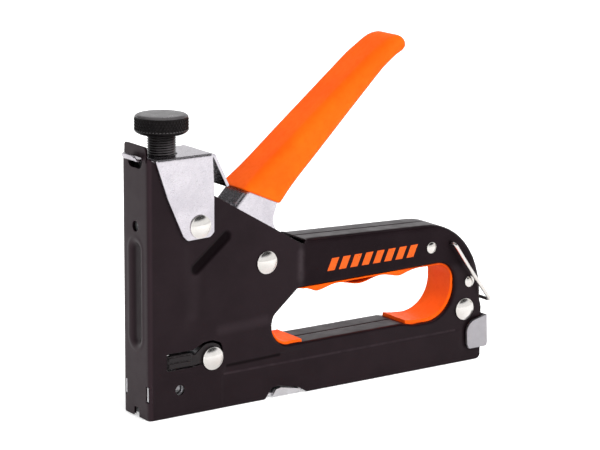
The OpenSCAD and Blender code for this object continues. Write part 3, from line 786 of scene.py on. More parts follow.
def pressed(across, z):
    """Depth of the pressed shapes, as a function of a place in the unfolded sheet."""
    x = side_x(across)
    # shallow middle panel behind the nose, its lower front corner drawn out in a soft curve
    front = rise(x, 16.2, 4.2)
    low = rise(z - 0.02 * (x - 24), 32.2, 3.4)
    corner = rise(np.hypot(np.maximum(0, 31 - x), np.maximum(0, 46 - z)), 17.5, -4.0)
    corner = np.where((x < 31) & (z < 46), corner, 1.0)
    top = fall(z - 0.62 * (x - 18), 69.5, 6.0)
    depth = 0.32 * np.minimum(np.minimum(front, low), np.minimum(top, corner))
    # the grip is stepped in behind the lever pivot
    depth += 0.42 * rise(x, 73.4, 3.6) * rise(z, 44, 3.0) * fall(x, 150, 12.0)
    # magazine band: pressed in above z 15, out again above z 18.6 in the front part
    ends = rise(x, 35.0, 3.0) * fall(x, 158, 8.0)
    back_out = rise(z - 0.04 * (x - 38), 17.3, 1.6) * fall(x, 66, 26.0)
    depth += 0.36 * rise(z, 13.9, 1.7) * ends * (1 - back_out) * fall(z, 23.0, 4.0)
    # hairline step down the side under the nose rivet
    depth += 0.10 * rise(x, 35.3, 0.5) * fall(z, 13.5, 1.5) * fall(x, 60, 60.0)
    # seat for the ear of the rear cap
    depth += (0.45 * rise(x, 160.5, 5.0) * rise(z, 3.5, 3.0)
              * fall(z, 19.0, 3.0) * fall(x, 168.5, 3.4))
    # diagonal stiffening groove
    depth += 0.55 * fall(from_segment(x, z, GROOVE), 1.2, 1.5)
    depth = np.where(np.abs(across) > SIDE_START - 0.2, depth, 0.0)
    # oval rib of the front wall, with a soft raised lip
    away = from_segment(across, z, FRONT_RIB)
    rib = 1.25 * fall(away, 1.5, 3.1) - 0.16 * np.exp(-((away - 5.3) / 0.75) ** 2)
    return depth + np.where(np.abs(across) < FLAT + 1.2, rib, 0.0)


def folded(across, z, drop):
    """Place in space of points of the unfolded sheet, moved in by drop."""
    sign, size = np.sign(across), np.abs(across)
    angle = np.clip((size - FLAT) / BEND, 0, math.pi / 2)
    normal_x, normal_y = -np.cos(angle), sign * np.sin(angle)
    x = np.where(size <= FLAT, 0.0,
                 BEND * (1 - np.cos(angle)) + np.maximum(0, size - SIDE_START))
    y = np.where(size <= FLAT, across, sign * (FLAT + BEND * np.sin(angle)))
    return np.stack([x - normal_x * drop, y - normal_y * drop, z], 1)


def sheet_loops():
    """Edges of the unfolded sheet as (kind, loop), the outer one first."""
    half = [(1.9, 3.8, .5), (1.9, 0, .4), *((unfold(x), z, r) for x, z, r in SIDE_EDGE),
            (unfold(77.1), 64.6, .25), (unfold(74.4), 65.7, .25), (SIDE_START, 108.72, 0),
            (9.3, 109.3, .25), (9.0, 107.7, .2), (8.4, 107.7, .2), (8.2, 114, 1.5)]
    outer = rounded(half + [(-x, z, r) for x, z, r in reversed(half)], 7)
    loops = [("outer", resample(outer, 1.5))]
    holes = [((14.8, 11.1), 2.15, 28), (CENTRES["bail"], 0.83, 16)]  # centre, radius, points
    holes += [(CENTRES[key], radius, 24) for key, radius in
              (("bracket", 2.45), ("rear", 2.45), ("pivot", 3.05), ("grip1", 1.55),
               ("grip2", 1.55))]
    window = rounded([(7.6, 7.6, .3), (9.55, 7.6, .3), (9.55, 14.4, .3), (7.6, 14.4, .3)])
    for sign in (1, -1):
        def on_side(loop):
            return ccw([(sign * unfold(x), z) for x, z in loop])

        loops.append(("finger", resample(on_side(rounded(FINGER, 6)), 1.3)))
        loops.append(("raw", resample(on_side(rounded(NOSE_CUT, 8)), 1.0)))
        loops += [("raw", on_side(circle(*hole))) for hole in holes]
        loops.append(("raw", resample(ccw([(sign * x, z) for x, z in window]), 1.0)))
    slot = [(-5.4, 104.4, 2.9), (5.4, 104.4, 2.9), (5.4, 109.2, 1.2), (-5.4, 109.2, 1.2)]
    loops.append(("raw", resample(rounded(slot), 0.9)))
    loops.append(("raw", circle((0, 80.2), 2.2, 32)))
    return loops


def edge_bend(kind, edge):
    """Which points of an edge carry a flange, and the edge radius at each."""
    n = len(edge)
    if kind == "finger":
        return np.ones(n, bool), np.full(n, FINGER_BEND)
    if kind == "raw":
        return np.zeros(n, bool), np.full(n, RAW_EDGE)
    x, z = side_x(edge[:, 0]), edge[:, 1]
    extra = RIM_BEND - RAW_EDGE
    bent = (x > 77.3) & (z > 24.0)
    radius = np.where(bent, RIM_BEND, RAW_EDGE)
    # ease the bend out at its two ends
    radius = np.where(bent & (z < 28), RAW_EDGE + extra * rise(z, 23.5, 4.5), radius)
    front_end = (x > 77.2) & (x < 81) & (z > 60)
    eased = np.minimum(radius, RAW_EDGE + extra * rise(x, 77.2, 1.6))
    return bent, np.where(front_end, eased, radius)


def in_sheet(points, loops):
    keep = inside(points, loops[0][1])
    for _, loop in loops[1:]:
        keep &= ~inside(points, loop)
    return keep


def away_from(points, others, gaps):
    """The points further from their nearest other than that one's gap."""
    tree = kdtree.KDTree(len(others))
    for i, other in enumerate(others):
        tree.insert((*other, 0), i)
    tree.balance()
    kept = []
    for point in points:
        _, i, distance = tree.find((*point, 0))
        if distance > gaps[i]:
            kept.append(point)
    return np.array(kept)


def grid(step):
    end = unfold(BODY_LEN)
    axes = np.meshgrid(np.arange(-end + 0.4, end, step), np.arange(0.35, 114, step))
    return np.stack(axes, -1).reshape(-1, 2)


def in_relief(points):
    """Which points of the sheet lie by a bend or a pressed shape."""
    across, z = points[:, 0], points[:, 1]
    x = side_x(across)
    near = from_segment(x, z, GROOVE) < 3.6
    near |= (np.abs(across) < 6.9) & (z > 26) & (z < 78)
    near |= np.abs(np.abs(across) - (FLAT + SIDE_START) / 2) < 1.3
    near |= (x > 36) & (x < 164) & (z > 13) & (z < 20.5)
    near |= (np.abs(x - 35.5) < 1.2) & (z < 16)
    near |= (np.abs(x - 75.2) < 2.6) & (z > 43) & (z < 66)
    return near


def sheet_fill(loops, rings, bends):
    """Grid points between the edges, finer near the pressed shapes."""
    fine = grid(0.55)
    fine = fine[in_relief(fine)]
    fine = fine[in_sheet(fine, loops)]
    coarse = grid(1.25)
    coarse = away_from(coarse[in_sheet(coarse, loops)], fine, [0.6] * len(fine))
    points = away_from(np.concatenate([coarse, fine]), rings, [0.42] * len(rings))
    # nothing between the rings of a bend
    return away_from(points, [point for point, _ in bends], [r + 0.45 for _, r in bends])


def housing_sheet():
    """The outer skin of the housing with flanges from its bends to the seam."""
    loops = sheet_loops()
    rings, drops, edges, lips, bends = [], [], [], [], []
    for kind, loop in loops:
        loop = ccw(loop)
        edge, n = np.array(loop), len(loop)
        inward = miter(loop) * (1 if kind == "outer" else -1)
        bent, radius = edge_bend(kind, edge)
        lips.append((len(rings), edge, inward, bent))
        bends += [(point, r) for point, r in zip(edge, radius) if r > 0.5]
        for shift, depth in reversed(quarter_round(4)):
            base = len(rings)
            rings += [tuple(q) for q in edge + inward * (radius * shift)[:, None]]
            drops += list(radius * depth)
            edges += [(base + j, base + (j + 1) % n) for j in range(n)]
    fill = sheet_fill(loops, rings, bends)
    drops = np.array(drops + [0.0] * len(fill))
    points = [Vector(q) for q in [*rings, *fill]]
    flat, _, faces, origins, _, _ = delaunay_2d_cdt(points, edges, [], 0, 1e-5)
    source = np.array([o[0] if o else -1 for o in origins])
    flat = np.array([tuple(v) for v in flat])
    triangles = np.array([f for f in faces if len(f) == 3])
    triangles = triangles[in_sheet(flat[triangles].mean(1), loops)]
    depth = np.where(source >= 0, drops[source], 0.0) + pressed(flat[:, 0], flat[:, 1])
    verts = [tuple(v) for v in folded(flat[:, 0], flat[:, 1], depth)]
    faces = [tuple(int(i) for i in f) for f in triangles]
    where = {int(s): i for i, s in enumerate(source) if s >= 0}

    # flange rows: (distance from the seam plane, how far the edge is rolled in)
    flange = ((6.2, 0), (3.8, 0), (1.6, 0), (0.62, 0), (0.36, 0.07), (0.2, 0.22), (0.15, 0.42))
    for base, edge, inward, bent in lips:
        if not bent.any():
            continue
        rows = [[where[base + j] for j in range(len(edge))]]
        for seam, roll in flange:
            row = []
            for i, at, push in zip(rows[0], edge, inward):
                x, y, z = verts[i]
                row.append(len(verts))
                verts.append((x + push[0] * (1 if at[0] > 0 else -1) * roll,
                              (1 if y > 0 else -1) * seam, z + push[1] * roll))
            rows.append(row)
        for first, second in zip(rows, rows[1:]):
            for j, quad in enumerate(band(first, second)):
                if bent[j] and bent[(j + 1) % len(edge)]:
                    faces.append(quad)
    used = sorted({i for f in faces for i in f})
    back = {i: k for k, i in enumerate(used)}
    return [verts[i] for i in used], [tuple(back[i] for i in f) for f in faces]


def pull_in(ob, places, chosen, outline):
    """Moves chosen vertices across the nearest point of an outline and 0.9 mm beyond."""
    outline = np.array(resample(outline, 1.0))
    for i in np.where(chosen)[0]:
        here = places[i, [0, 2]]
        nearest = outline[np.argmin(np.hypot(*(outline - here).T))]
        toward = (nearest - here) / max(1e-6, float(np.hypot(*(nearest - here))))
        x, z = nearest + toward * 0.9
        ob.data.vertices[i].co = place(x, places[i, 1], z)


def build_housing():
    ob = mesh_object("housing_shell", *housing_sheet(), weld=False, sharp=0)
    # normals point outward: the largest side face must look away from the middle
    probe = max(ob.data.polygons, key=lambda p: (abs(p.normal.y) > 0.9) * p.area)
    if probe.normal.y * probe.center.y < 0:
        ob.data.flip_normals()
    mod = ob.modifiers.new("sheet", "SOLIDIFY")
    mod.thickness, mod.offset, mod.use_even_offset, mod.use_rim = SHEET * MM, -1, True, True
    bake(ob)
    # the inside stays flat where the lever and its pin swing
    flat_y = 8.85 * MM
    for v in ob.data.vertices:
        x, y, z = v.co.x - NOSE, abs(v.co.y), v.co.z
        in_swing = 10 * MM < x < 57.5 * MM and 26 * MM < z < 100 * MM
        if in_swing and 6.5 * MM < y < flat_y:
            v.co.y = math.copysign(flat_y, v.co.y)
    # thickened points that strayed into the opening or past the outline go back into the sheet
    finger, body = rounded(FINGER, 6), rounded(BODY, 6)
    places = np.array([v.co for v in ob.data.vertices]) / MM
    places[:, 0] -= NOSE / MM
    flat = places[:, [0, 2]]
    pull_in(ob, places, inside(flat, inset(finger, 0.25)), finger)
    pull_in(ob, places, ~inside(flat, inset(body, -0.25)) & (flat[:, 0] > 78), body)
    shade(ob, 42)
    return weighted(ob)


add(build_housing(), "frame", "housing", "body_paint")

# ------------------------------------------------------------------ bracket over the nose

BRACKET_HALF = HALF_W + 1.25


def bracket_edge(point):
    """Bend radius along the top, plain cut edge elsewhere."""
    return 1.15 if point[1] > 108.2 and 3.6 < point[0] < 29.7 else 0.22


def along_path(path, along, left):
    """Point at a length along a path, moved to its left."""
    for a, b in zip(path, path[1:]):
        length = math.dist(a, b)
        if along <= length or b == path[-1]:
            dx, dz = (b[0] - a[0]) / length, (b[1] - a[1]) / length
            return a[0] + dx * along - dz * left, a[1] + dz * along + dx * left
        along -= length


def cut_corners(path, times):
    for _ in range(times):
        new = [path[0]]
        for a, b in zip(path, path[1:]):
            new += [(0.75 * a[0] + 0.25 * b[0], 0.75 * a[1] + 0.25 * b[1]),
                    (0.25 * a[0] + 0.75 * b[0], 0.25 * a[1] + 0.75 * b[1])]
        path = new + [path[-1]]
    return path


def hooked_tongue():
    """Strip running forward from the bracket's top and curling up past the nose."""
    # centre line (x, z)
    path = cut_corners([(4.5, 108.25), (2.0, 108.15), (0.2, 107.95), (-1.3, 108.0),
                        (-2.3, 108.45), (-2.85, 109.3), (-3.05, 110.4)], 3)
    length = sum(math.dist(a, b) for a, b in zip(path, path[1:]))

    def to(y, along, left):
        x, z = along_path(path, along, left)
        return x, y, z

    strip = rounded([(-4.75, 0, 0), (4.75, 0, 0), (4.75, length, 1.5), (-4.75, length, 1.5)])
    return prism("tongue", resample(strip, 0.5), -0.6, 0.6, edge=0.3, seg=3, to=to, step=0.5)


def build_bracket():
    ob = prism("top_bracket_sheet", rounded(CHEEK), -BRACKET_HALF, BRACKET_HALF,
               edge=bracket_edge, seg=5, step=2.0)
    inner_half = HALF_W + 0.05
    boolean(ob, [block([(-5, 60, 0), (45, 60, 0), (45, 107.6, 0), (-5, 107.6, 0)],
                       -inner_half, inner_half,
                       edge=lambda point: 0.35 if point[1] > 107 else 0.01)])
    rear_tab = block([(29.2, 107.62, 0), (29.4, 108.78, .3), (31.3, 108.6, 1.6),
                      (38.1, 94.7, .25), (36.9, 94.1, .25), (30.4, 107.2, .8)],
                     -BRACKET_HALF, BRACKET_HALF, edge=0.2)
    boolean(ob, [rear_tab, hooked_tongue()], "UNION")
    boolean(ob, [cylinder(6.3, 104, 112, 64, upright),
                 cylinder(2.45, -16, 16, 32, crosswise(CENTRES["bracket"]))])
    return weighted(ob)


add(build_bracket(), "frame", "top_bracket", "zinc")

# ------------------------------------------------------------------ rivets


def rivet_data(centre, radius, height, shank, seat_y):
    """Two domed heads with a rolled lower edge on one shank."""
    rise_z = height - 0.42
    sphere = (radius * radius + rise_z * rise_z) / (2 * rise_z)
    angle = math.asin(min(1, radius / sphere))
    dome = [(sphere * math.sin(angle * i / 14),
             height - sphere * (1 - math.cos(angle * i / 14))) for i in range(14)]
    dome += [(radius - 0.02, 0.5), (radius, 0.36), (radius - 0.03, 0.16), (radius - 0.22, 0.03),
             (radius - 0.45, 0.0), (shank + 0.05, 0.0), (shank, -0.1)]
    profile = [(r, seat_y + h) for r, h in dome]
    profile += [(r, -h) for r, h in reversed(profile)]
    return lathe_data(profile, 56, crosswise(centre))


def seat(key):
    """How far out the pressed side is under a rivet."""
    x, z = CENTRES[key]
    return HALF_W + 0.03 - float(pressed(np.array([unfold(x)]), np.array([z]))[0])


for name, key, seat_y, shank in (
        ("bracket_rivet", "bracket", HALF_W + 1.27, 2.4),
        ("lever_pivot_rivet", "pivot", seat("pivot"), 3.0),
        ("nose_rivet", "nose", HALF_W + 0.02, 2.4),
        ("rear_rivet", "rear", seat("rear"), 2.4)):
    head = rivet_data(CENTRES[key], 4.9, 1.9, shank, seat_y)
    add(mesh_object(name + "_dome", *head, sharp=50), "frame", name, "nickel")
grip_heads = join([rivet_data(CENTRES[key], 2.5, 1.3, 1.5, seat(key)) for key in ("grip1", "grip2")])
add(mesh_object("grip_rivet_domes", *grip_heads, sharp=50), "frame", "grip_rivets", "nickel")

# ------------------------------------------------------------------ tension knob

KNOB_Z, KNOB_H, KNOB_R = 117.2, 8.0, 11.2
KNURLS, KNURL_DEPTH = 48, 0.55
THREAD_LOW, THREAD_TOP, THREAD_DEPTH = 97.0, KNOB_Z - 0.6, 0.55


def knurl(radius, angle, height):
    """Crossed slanting grooves round the knob's rim."""
    z = height - KNOB_Z
    strength = float(rise(z, 1.5, 0.7) * fall(z, 6.5, 0.7))
    if radius < KNOB_R - 1.4 or strength <= 0:
        return radius
    turn = angle * KNURLS / (2 * math.pi)
    one, other = (abs(((turn + slant * z) % 1) * 2 - 1) for slant in (0.42, -0.42))
    share = 1 - min(one, other) * 0.9 - 0.1 * max(one, other)
    return radius - KNURL_DEPTH * strength * share


def thread(radius, angle, height):
    """Screw thread of 1 mm pitch."""
    if radius < 5.0 or height < THREAD_LOW or height > THREAD_TOP:
        return radius
    phase = (height - angle / (2 * math.pi)) % 1.0
    return radius - THREAD_DEPTH * abs(phase * 2 - 1) ** 0.9


# (radius, height above the knob's underside)
knob = [(0, 0), (6.0, 0), (7.5, 0), (8.6, 0), (8.9, .02), (9.6, .2), (10.3, .6), (10.8, 1.05),
        (11.1, 1.5), *((KNOB_R, 1.7 + 0.15 * i) for i in range(33)), (11.12, 6.75), (10.9, 7.15),
        (10.5, 7.55), (10.0, 7.82), (9.4, 7.96), (8.8, KNOB_H), (5.0, KNOB_H), (2.0, KNOB_H),
        (0, KNOB_H)]
knob = [(radius, KNOB_Z + height) for radius, height in knob]
# (radius, z)
screw = [(0, 96.05), (4.6, 96.05), (4.85, 96.2), (5.35, 96.9)]
screw += [(5.98, THREAD_LOW + 0.125 * i) for i in range(int((THREAD_TOP - THREAD_LOW) / 0.125) + 1)]
screw += [(5.6, KNOB_Z - 0.55), (5.6, KNOB_Z - 0.1), (6.0, KNOB_Z), (0, KNOB_Z + 0.4)]
turned_parts = join([lathe_data(knob, 288, upright, knurl), lathe_data(screw, 72, upright, thread)])
add(mesh_object("tension_knob_turned", *turned_parts, sharp=60), "knob", "tension_knob",
    "black_oxide")

# ------------------------------------------------------------------ lever and its sleeve


def lever_edge(point):
    """Bend radius along the web at the front, plain cut edge elsewhere."""
    x, z = point
    x0, z0, _ = LEVER[0]
    x1, z1, _ = LEVER[10]
    web_length = 85.2  # rounded
    off_web = abs((x - x0) * (z1 - z0) - (z - z0) * (x1 - x0)) / web_length
    on_web = off_web < 3.2 and 84.5 < z < 136 and x < 109 and x - x0 < (z - z0) * 1.5 + 2
    return 1.9 if on_web else 0.22


def build_lever():
    ob = prism("squeeze_lever_sheet", rounded(LEVER, 8), -8.2, 8.2, edge=lever_edge, seg=5,
               step=2.0)
    channel = block([(44.2, 83.8, 0), (49.3, 89.0, .4), (109.6, 136.2, 0), (125, 136, 0),
                     (125, 20, 0), (20, 20, 0), (20, 83.8, 0)], -6.8, 6.8, edge=0.3)
    boolean(ob, [channel, cylinder(3.05, -14, 14, 36, crosswise(CENTRES["pivot"])),
                 cylinder(2.05, -14, 14, 32, crosswise(CENTRES["claw"]))])
    return weighted(ob)


def at_shares(points, shares):
    """Points at shares of a polyline's length."""
    points = np.array(points, float)
    lengths = np.linalg.norm(np.diff(points, axis=0), axis=1)
    run = np.concatenate([[0], np.cumsum(lengths)])
    shares = np.array(shares) * run[-1]
    return np.stack([np.interp(shares, run, points[:, k]) for k in (0, 1)], 1)


def rounded_rect(half_h, half_w, radius):
    """Section points (up the height, across the width), ten a corner and four a side."""
    radius = max(0.05, min(radius, half_h * 0.98, half_w * 0.98))

    def on_corner(up, across, degrees):
        angle = math.radians(degrees)
        return (up * (half_h - radius) + radius * math.cos(angle),
                across * (half_w - radius) + radius * math.sin(angle))

    out = []
    for up, across, start in ((1, 1, 0), (-1, 1, 90), (-1, -1, 180), (1, -1, 270)):
        out += [on_corner(up, across, start + 90 * i / 9) for i in range(10)]
        a, b = out[-1], on_corner(-across, up, start + 90)
        out += [(a[0] + (b[0] - a[0]) * i / 5, a[1] + (b[1] - a[1]) * i / 5) for i in range(1, 5)]
    return out


def sleeve_skin():
    """Dipped sleeve lofted from its mouth to its closed tip, soft all round."""
    loop = rounded(SLEEVE, 4)
    tip = max(range(len(loop)), key=lambda i: loop[i][0] + 0.55 * loop[i][1])
    shares = [0.0, 0.0, 0.0015, 0.004, 0.008] + [0.02 + 0.88 * i / 44 for i in range(45)]
    shares += [1 - 0.1 * (1 - math.sin(math.pi / 2 * i / 16)) for i in range(1, 17)]
    lowers = at_shares(loop[:tip + 1], shares)
    uppers = at_shares(list(reversed(loop[tip:])), shares)
    length, tip_length, tip_half = 112.0, 10.0, 1.6
    lips = (0.75, 0.62, 0.28, 0.08)  # how far the first sections are drawn in at the mouth
    verts, rows = [], []
    for i, (share, lower, upper) in enumerate(zip(shares, lowers, uppers)):
        centre, half = (lower + upper) / 2, (upper - lower) / 2
        size = float(np.hypot(*half))
        half_h = max(0.02, size)
        up = half / max(1e-9, size) if half_h > 0.03 else np.array([-0.5, 0.86])
        from_tip = length * (1 - share)
        # half width: a slight waist near the mouth, a slight swell past the middle
        half_w = (10.62 - 0.30 * math.exp(-((share - 0.16) / 0.10) ** 2)
                  + 0.07 * math.exp(-((share - 0.6) / 0.2) ** 2))
        if from_tip < tip_length:
            round_off = math.sqrt(max(0.0, 1 - (1 - from_tip / tip_length) ** 2))
            half_w = tip_half + (half_w - tip_half) * round_off
        lip = lips[i] if i < len(lips) else 0.0
        half_h, half_w = max(0.02, half_h - lip), half_w - lip
        row = []
        corner = 4.6 - 1.2 * math.exp(-(share / 0.06) ** 2)
        for high, y in rounded_rect(half_h, half_w, corner):
            bulge = 0.22 * (1 - (high / half_h) ** 2) * smooth((from_tip - 4) / 10)
            if abs(y) > half_w * 0.6:
                y += bulge if y > 0 else -bulge
            row.append(len(verts))
            verts.append((centre[0] + up[0] * high, y, centre[1] + up[1] * high))
        rows.append(row)
    faces = [quad for first, second in zip(rows, rows[1:]) for quad in band(first, second)]
    faces += [tuple(rows[0]), tuple(rows[-1])]
    return mesh_object("lever_sleeve_dipped", verts, faces, sharp=75)


def build_sleeve():
    ob = sleeve_skin()
    pocket = block([(61.4, 80.6, 0), (116.6, 135.8, 2), (110.6, 139.5, 2), (43.8, 86.8, 0)],
                   -8.3, 8.3, edge=0.5)
    boolean(ob, [pocket], sharp=60)
    return weighted(ob)


add(build_lever(), "lever", "squeeze_lever", "zinc")
add(build_sleeve(), "lever", "lever_sleeve", "orange_grip")

# ------------------------------------------------------------------ liner of the finger opening

LINER_HALF = 9.35


def liner_outlines():
    """Outer and inner path, both from the rear end piece round over the top to the front one."""
    outer = np.array(inset(rounded(FINGER, 5), 0.08))
    x, z = outer[:, 0], outer[:, 1]
    start = int(np.argmin(np.where((z < 22.3) & (x > 133.6), x, 1e3)))
    outer = [tuple(q) for q in np.roll(outer, -start, 0)
             if not (q[1] < 22.3 and 76 < q[0] < 133.6)]
    outer = [(133.4, 21.22), *outer, (76.0, 22.18)]
    inner = [(133.4, 23.1), (136.5, 22.4)]
    inner += corner_arc((156.3, 22.0), (137, 22.0), (156.3, 45.3), 14.6, 5)
    inner += corner_arc((156.3, 45.3), (156.3, 23.4), (141, 45.6), 6, 6)
    # finger waves along the top, 23 mm apart, dying out at both ends
    for i in range(45):
        x = 140 - i * 1.4
        fade = min(1, (140 - x) / 12, (x - 78.4) / 5)
        wave = 1 + math.cos(math.radians((x - 83) * 360 / 23))
        inner.append((x, 45.1 + 0.0095 * (x - 74) - 0.98 * fade * wave))
    inner += corner_arc((74.6, 45.3), (78.4, 45.34), (61.25, 34.25), 2.4, 8)
    inner += corner_arc((61.25, 34.25), (74.6, 45.3), (61.25, 23.4), 5.4, 6)
    inner += corner_arc((61.25, 23.4), (61.25, 34.25), (76, 23.4), 7.6, 6)
    return outer, inner + [(76.0, 23.4)]


def liner_warp(x, z, y):
    # the end of the rear piece is cut on a slant on both sides
    if 100 < x < 137 and z < 24:
        x -= 2.4 * abs(y) / LINER_HALF * (137 - x) / 4.4
    # narrower where the rolled edge of the sheet shows beside it
    rear = float(rise(x, 118, 16.0))
    front = float(rise(x, 76.5, -2.5) * rise(z, 27.0, 4.0))
    return x, z, y * (1 - 0.11 * rear) * (1 - 0.2 * front)


def build_liner():
    outer, inner = liner_outlines()
    rim = np.array(outer)

    def liner_edge(point):
        distance = np.min(np.hypot(rim[:, 0] - point[0], rim[:, 1] - point[1]))
        return 0.12 if distance < 0.25 else 0.45

    loop = []
    for point in outer + list(reversed(inner)):
        if not loop or math.dist(loop[-1], point) > 0.02:
            loop.append(point)
    return weighted(prism("finger_grip_moulding", loop, -LINER_HALF, LINER_HALF,
                          edge=liner_edge, seg=4, warp=liner_warp, step=1.5, sharp=60))


add(build_liner(), "frame", "finger_grip_insert", "orange_grip", "orange_liner")

# ------------------------------------------------------------------ nail guide lever


def build_nail_guide():
    """A pad in each side of the nose with two raised ribs, joined by a bar."""
    def span(sign, near, far):
        return sorted((sign * near, sign * far))

    pads = [prism_data(rounded(NAIL_PAD), *span(sign, HALF_IN + 0.05, HALF_W - 0.45),
                       holes=[circle(CENTRES["nose"], 2.5, 28)], edge=0.18, seg=3, step=2.0)
            for sign in (1, -1)]
    ob = mesh_object("nail_guide_lever_arm", *join(pads), sharp=42)
    extras = []
    for sign in (1, -1):
        for low in (20.8, 23.35):
            top = low + 2.1
            rib = [(9.5, low, .3), (20.4, low, .3), (20.4, top, .3), (9.5, top, .3)]
            extras.append(block(rib, *span(sign, HALF_W - 0.7, HALF_W + 0.05), edge=0.3, seg=3))
    extras.append(block([(20.8, 20.6, .3), (24.4, 20.6, .3), (24.4, 23.6, .3), (20.8, 23.6, .3)],
                        -HALF_IN - 0.3, HALF_IN + 0.3, edge=0.1))
    boolean(ob, extras, "UNION")
    return weighted(ob)


add(build_nail_guide(), "nail_guide", "nail_guide_lever", "black_oxide", "black_lever")

# ------------------------------------------------------------------ rear cap


def cap_edge(point):
    """Bend radius up the back, plain cut edge elsewhere."""
    return 0.95 if point[0] > 174.6 and 6.5 < point[1] < 20.0 else 0.3


def build_rear_cap():
    """Ears on both sides joined across the back, with a bored boss for the rod."""
    half, inner_half = HALF_W + 1.45, HALF_W + 0.25
    ob = prism("rear_cap_sheet", rounded(EAR), -half, half, edge=cap_edge, seg=5, step=2.0)
    boolean(ob, [prism("block", [(150, 0), (174.1, 0), (173.9, 30), (150, 30)],
                       -inner_half, inner_half, edge=0.3)])
    boss = block([(-3.6, 4.4, .6), (3.6, 4.4, .6), (3.6, 12.4, .6), (-3.6, 12.4, .6)],
                 172.4, 174.6, edge=0.1, to=lambda y, z, x: (x, y, z))
    boolean(ob, [boss], "UNION")
    boolean(ob, [cylinder(1.65, 165, 174.0, 32, lambda y, z, x: (x, y, ROD_Z + z))])
    return weighted(ob)


add(build_rear_cap(), "magazine", "rear_cap", "zinc", "satin_zinc")

# ------------------------------------------------------------------ wire bail

BAIL_HALF = 12.7
BAIL_BENDS = (CENTRES["bail"], (163.2, 43.6), (175.6, 27))  # (x, z) down each side


def bail_side(sign):
    x, z = CENTRES["bail"]
    return [(x, sign * (HALF_IN - 0.6), z)] + [(x, sign * BAIL_HALF, z) for x, z in BAIL_BENDS]


bail_path = bent_path(bail_side(-1) + list(reversed(bail_side(1))), radius=1.5, step=10)
add(wire("wire_bail_loop", bail_path, 0.8, 16), "bail", "wire_bail", "nickel")

# ------------------------------------------------------------------ springs

MAIN_TOP, MAIN_LEN, MAIN_WIRE = 94.6, 37.3, 1.05
main_path = helix((KNOB_X, 0, MAIN_TOP - MAIN_LEN), "z", radius=5.6, turns=7.5, length=MAIN_LEN,
                  wire_radius=MAIN_WIRE, seg=30, closed=0.9)
main_spring = wire("main_spring_coil", main_path, MAIN_WIRE, 12)
add(main_spring, "spring_seat", "main_spring", "spring_steel")
place(KNOB_X, 0, MAIN_TOP)
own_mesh(main_spring)

PUSH_END, PUSH_LEN, PUSH_WIRE = 172.1, 139, 0.4
push_path = helix((PUSH_END - PUSH_LEN, 0, ROD_Z), "x", radius=2.75, turns=28, length=PUSH_LEN,
                  wire_radius=PUSH_WIRE, seg=14, closed=0)
push_spring = wire("pusher_spring_coil", push_path, PUSH_WIRE, 6)
add(push_spring, "magazine", "pusher_spring", "spring_steel")
place(PUSH_END, 0, ROD_Z)
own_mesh(push_spring)


def return_spring_path():
    """Torsion spring round the lever pivot, its two legs leaving at a tangent."""
    first, last = math.radians(-23.6), math.radians(-64.5)
    radius, leg_first, leg_last = 5.6, 26, 18
    turns = 5 + (last - first) / (2 * math.pi)
    n, coil = int(turns * 26), []
    for i in range(n + 1):
        angle = first + 2 * math.pi * turns * i / n
        coil.append((radius * math.cos(angle), radius * math.sin(angle), 0.7 + 7.4 * i / n))
    shares = (0.15, 0.4, 0.7, 1)

    def leg(end, angle, length, share):
        return (end[0] + length * math.sin(angle) * share,
                end[1] - length * math.cos(angle) * share, end[2])

    path = [leg(coil[0], first, leg_first, share) for share in reversed(shares)] + coil
    path += [leg(coil[-1], last, -leg_last, share) for share in shares]
    # the coil's first axis runs along X, its second along -Z, its length along Y
    x, z = CENTRES["pivot"]
    return [(x + forth, -4.4 + along, z - down) for forth, down, along in path]


add(wire("lever_return_spring_coil", return_spring_path(), 0.7, 10), "frame",
    "lever_return_spring", "spring_steel")

# ------------------------------------------------------------------ inner parts kept from the CAD

KEPT = {
    "adjuster_nut": "tool_steel", "rivet_spacers": "tool_steel", "lever_pivot_bush": "tool_steel",
    "nose_guide": "zinc_cad", "magazine_liner": "zinc_cad", "striker_bumper": "rubber",
    "claw_pin": "tool_steel", "lifting_claw": "tool_steel", "plunger_shoe": "tool_steel",
    "striker_blade": "blade", "upper_spring_seat": "tool_steel", "guide_rod": "zinc_cad",
    "staple_core": "zinc_cad", "staple_pusher": "zinc_cad",
}
for name, material in KEPT.items():
    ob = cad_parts[name]
    ob.data.materials.clear()
    ob.data.materials.append(MATERIALS[material])

# ------------------------------------------------------------------ floor, world, lights, camera

scene = bpy.context.scene


def stage_floor():
    """White floor that glows a little, more so to the camera."""
    mat = Surface("studio_floor")
    cloud = mat.noise(scale=0.004)
    seen = mat("ShaderNodeLightPath").outputs["Is Camera Ray"]
    tone = mat.mix(seen, (0.62, 0.62, 0.62), (0.88, 0.88, 0.88))
    diffuse = mat("ShaderNodeBsdfDiffuse", {0: tone})
    glow = mat.scaled(cloud, times=0.02, plus=mat.ramp(seen, (0, 1), to=(0.19, 0.42)))
    emission = mat("ShaderNodeEmission", {"Color": (1, 1, 1), "Strength": glow})
    both = mat("ShaderNodeAddShader", {0: diffuse.outputs[0], 1: emission.outputs[0]})
    mat.output(both.outputs[0])
    mesh = bpy.data.meshes.new("floor")
    bm = bmesh.new()
    bmesh.ops.create_grid(bm, x_segments=8, y_segments=8, size=12.0)
    bm.to_mesh(mesh)
    bm.free()
    ob = bpy.data.objects.new("floor", mesh)
    ob.location = (0, 0, -0.0002)
    scene.collection.objects.link(ob)
    mesh.materials.append(mat.material)


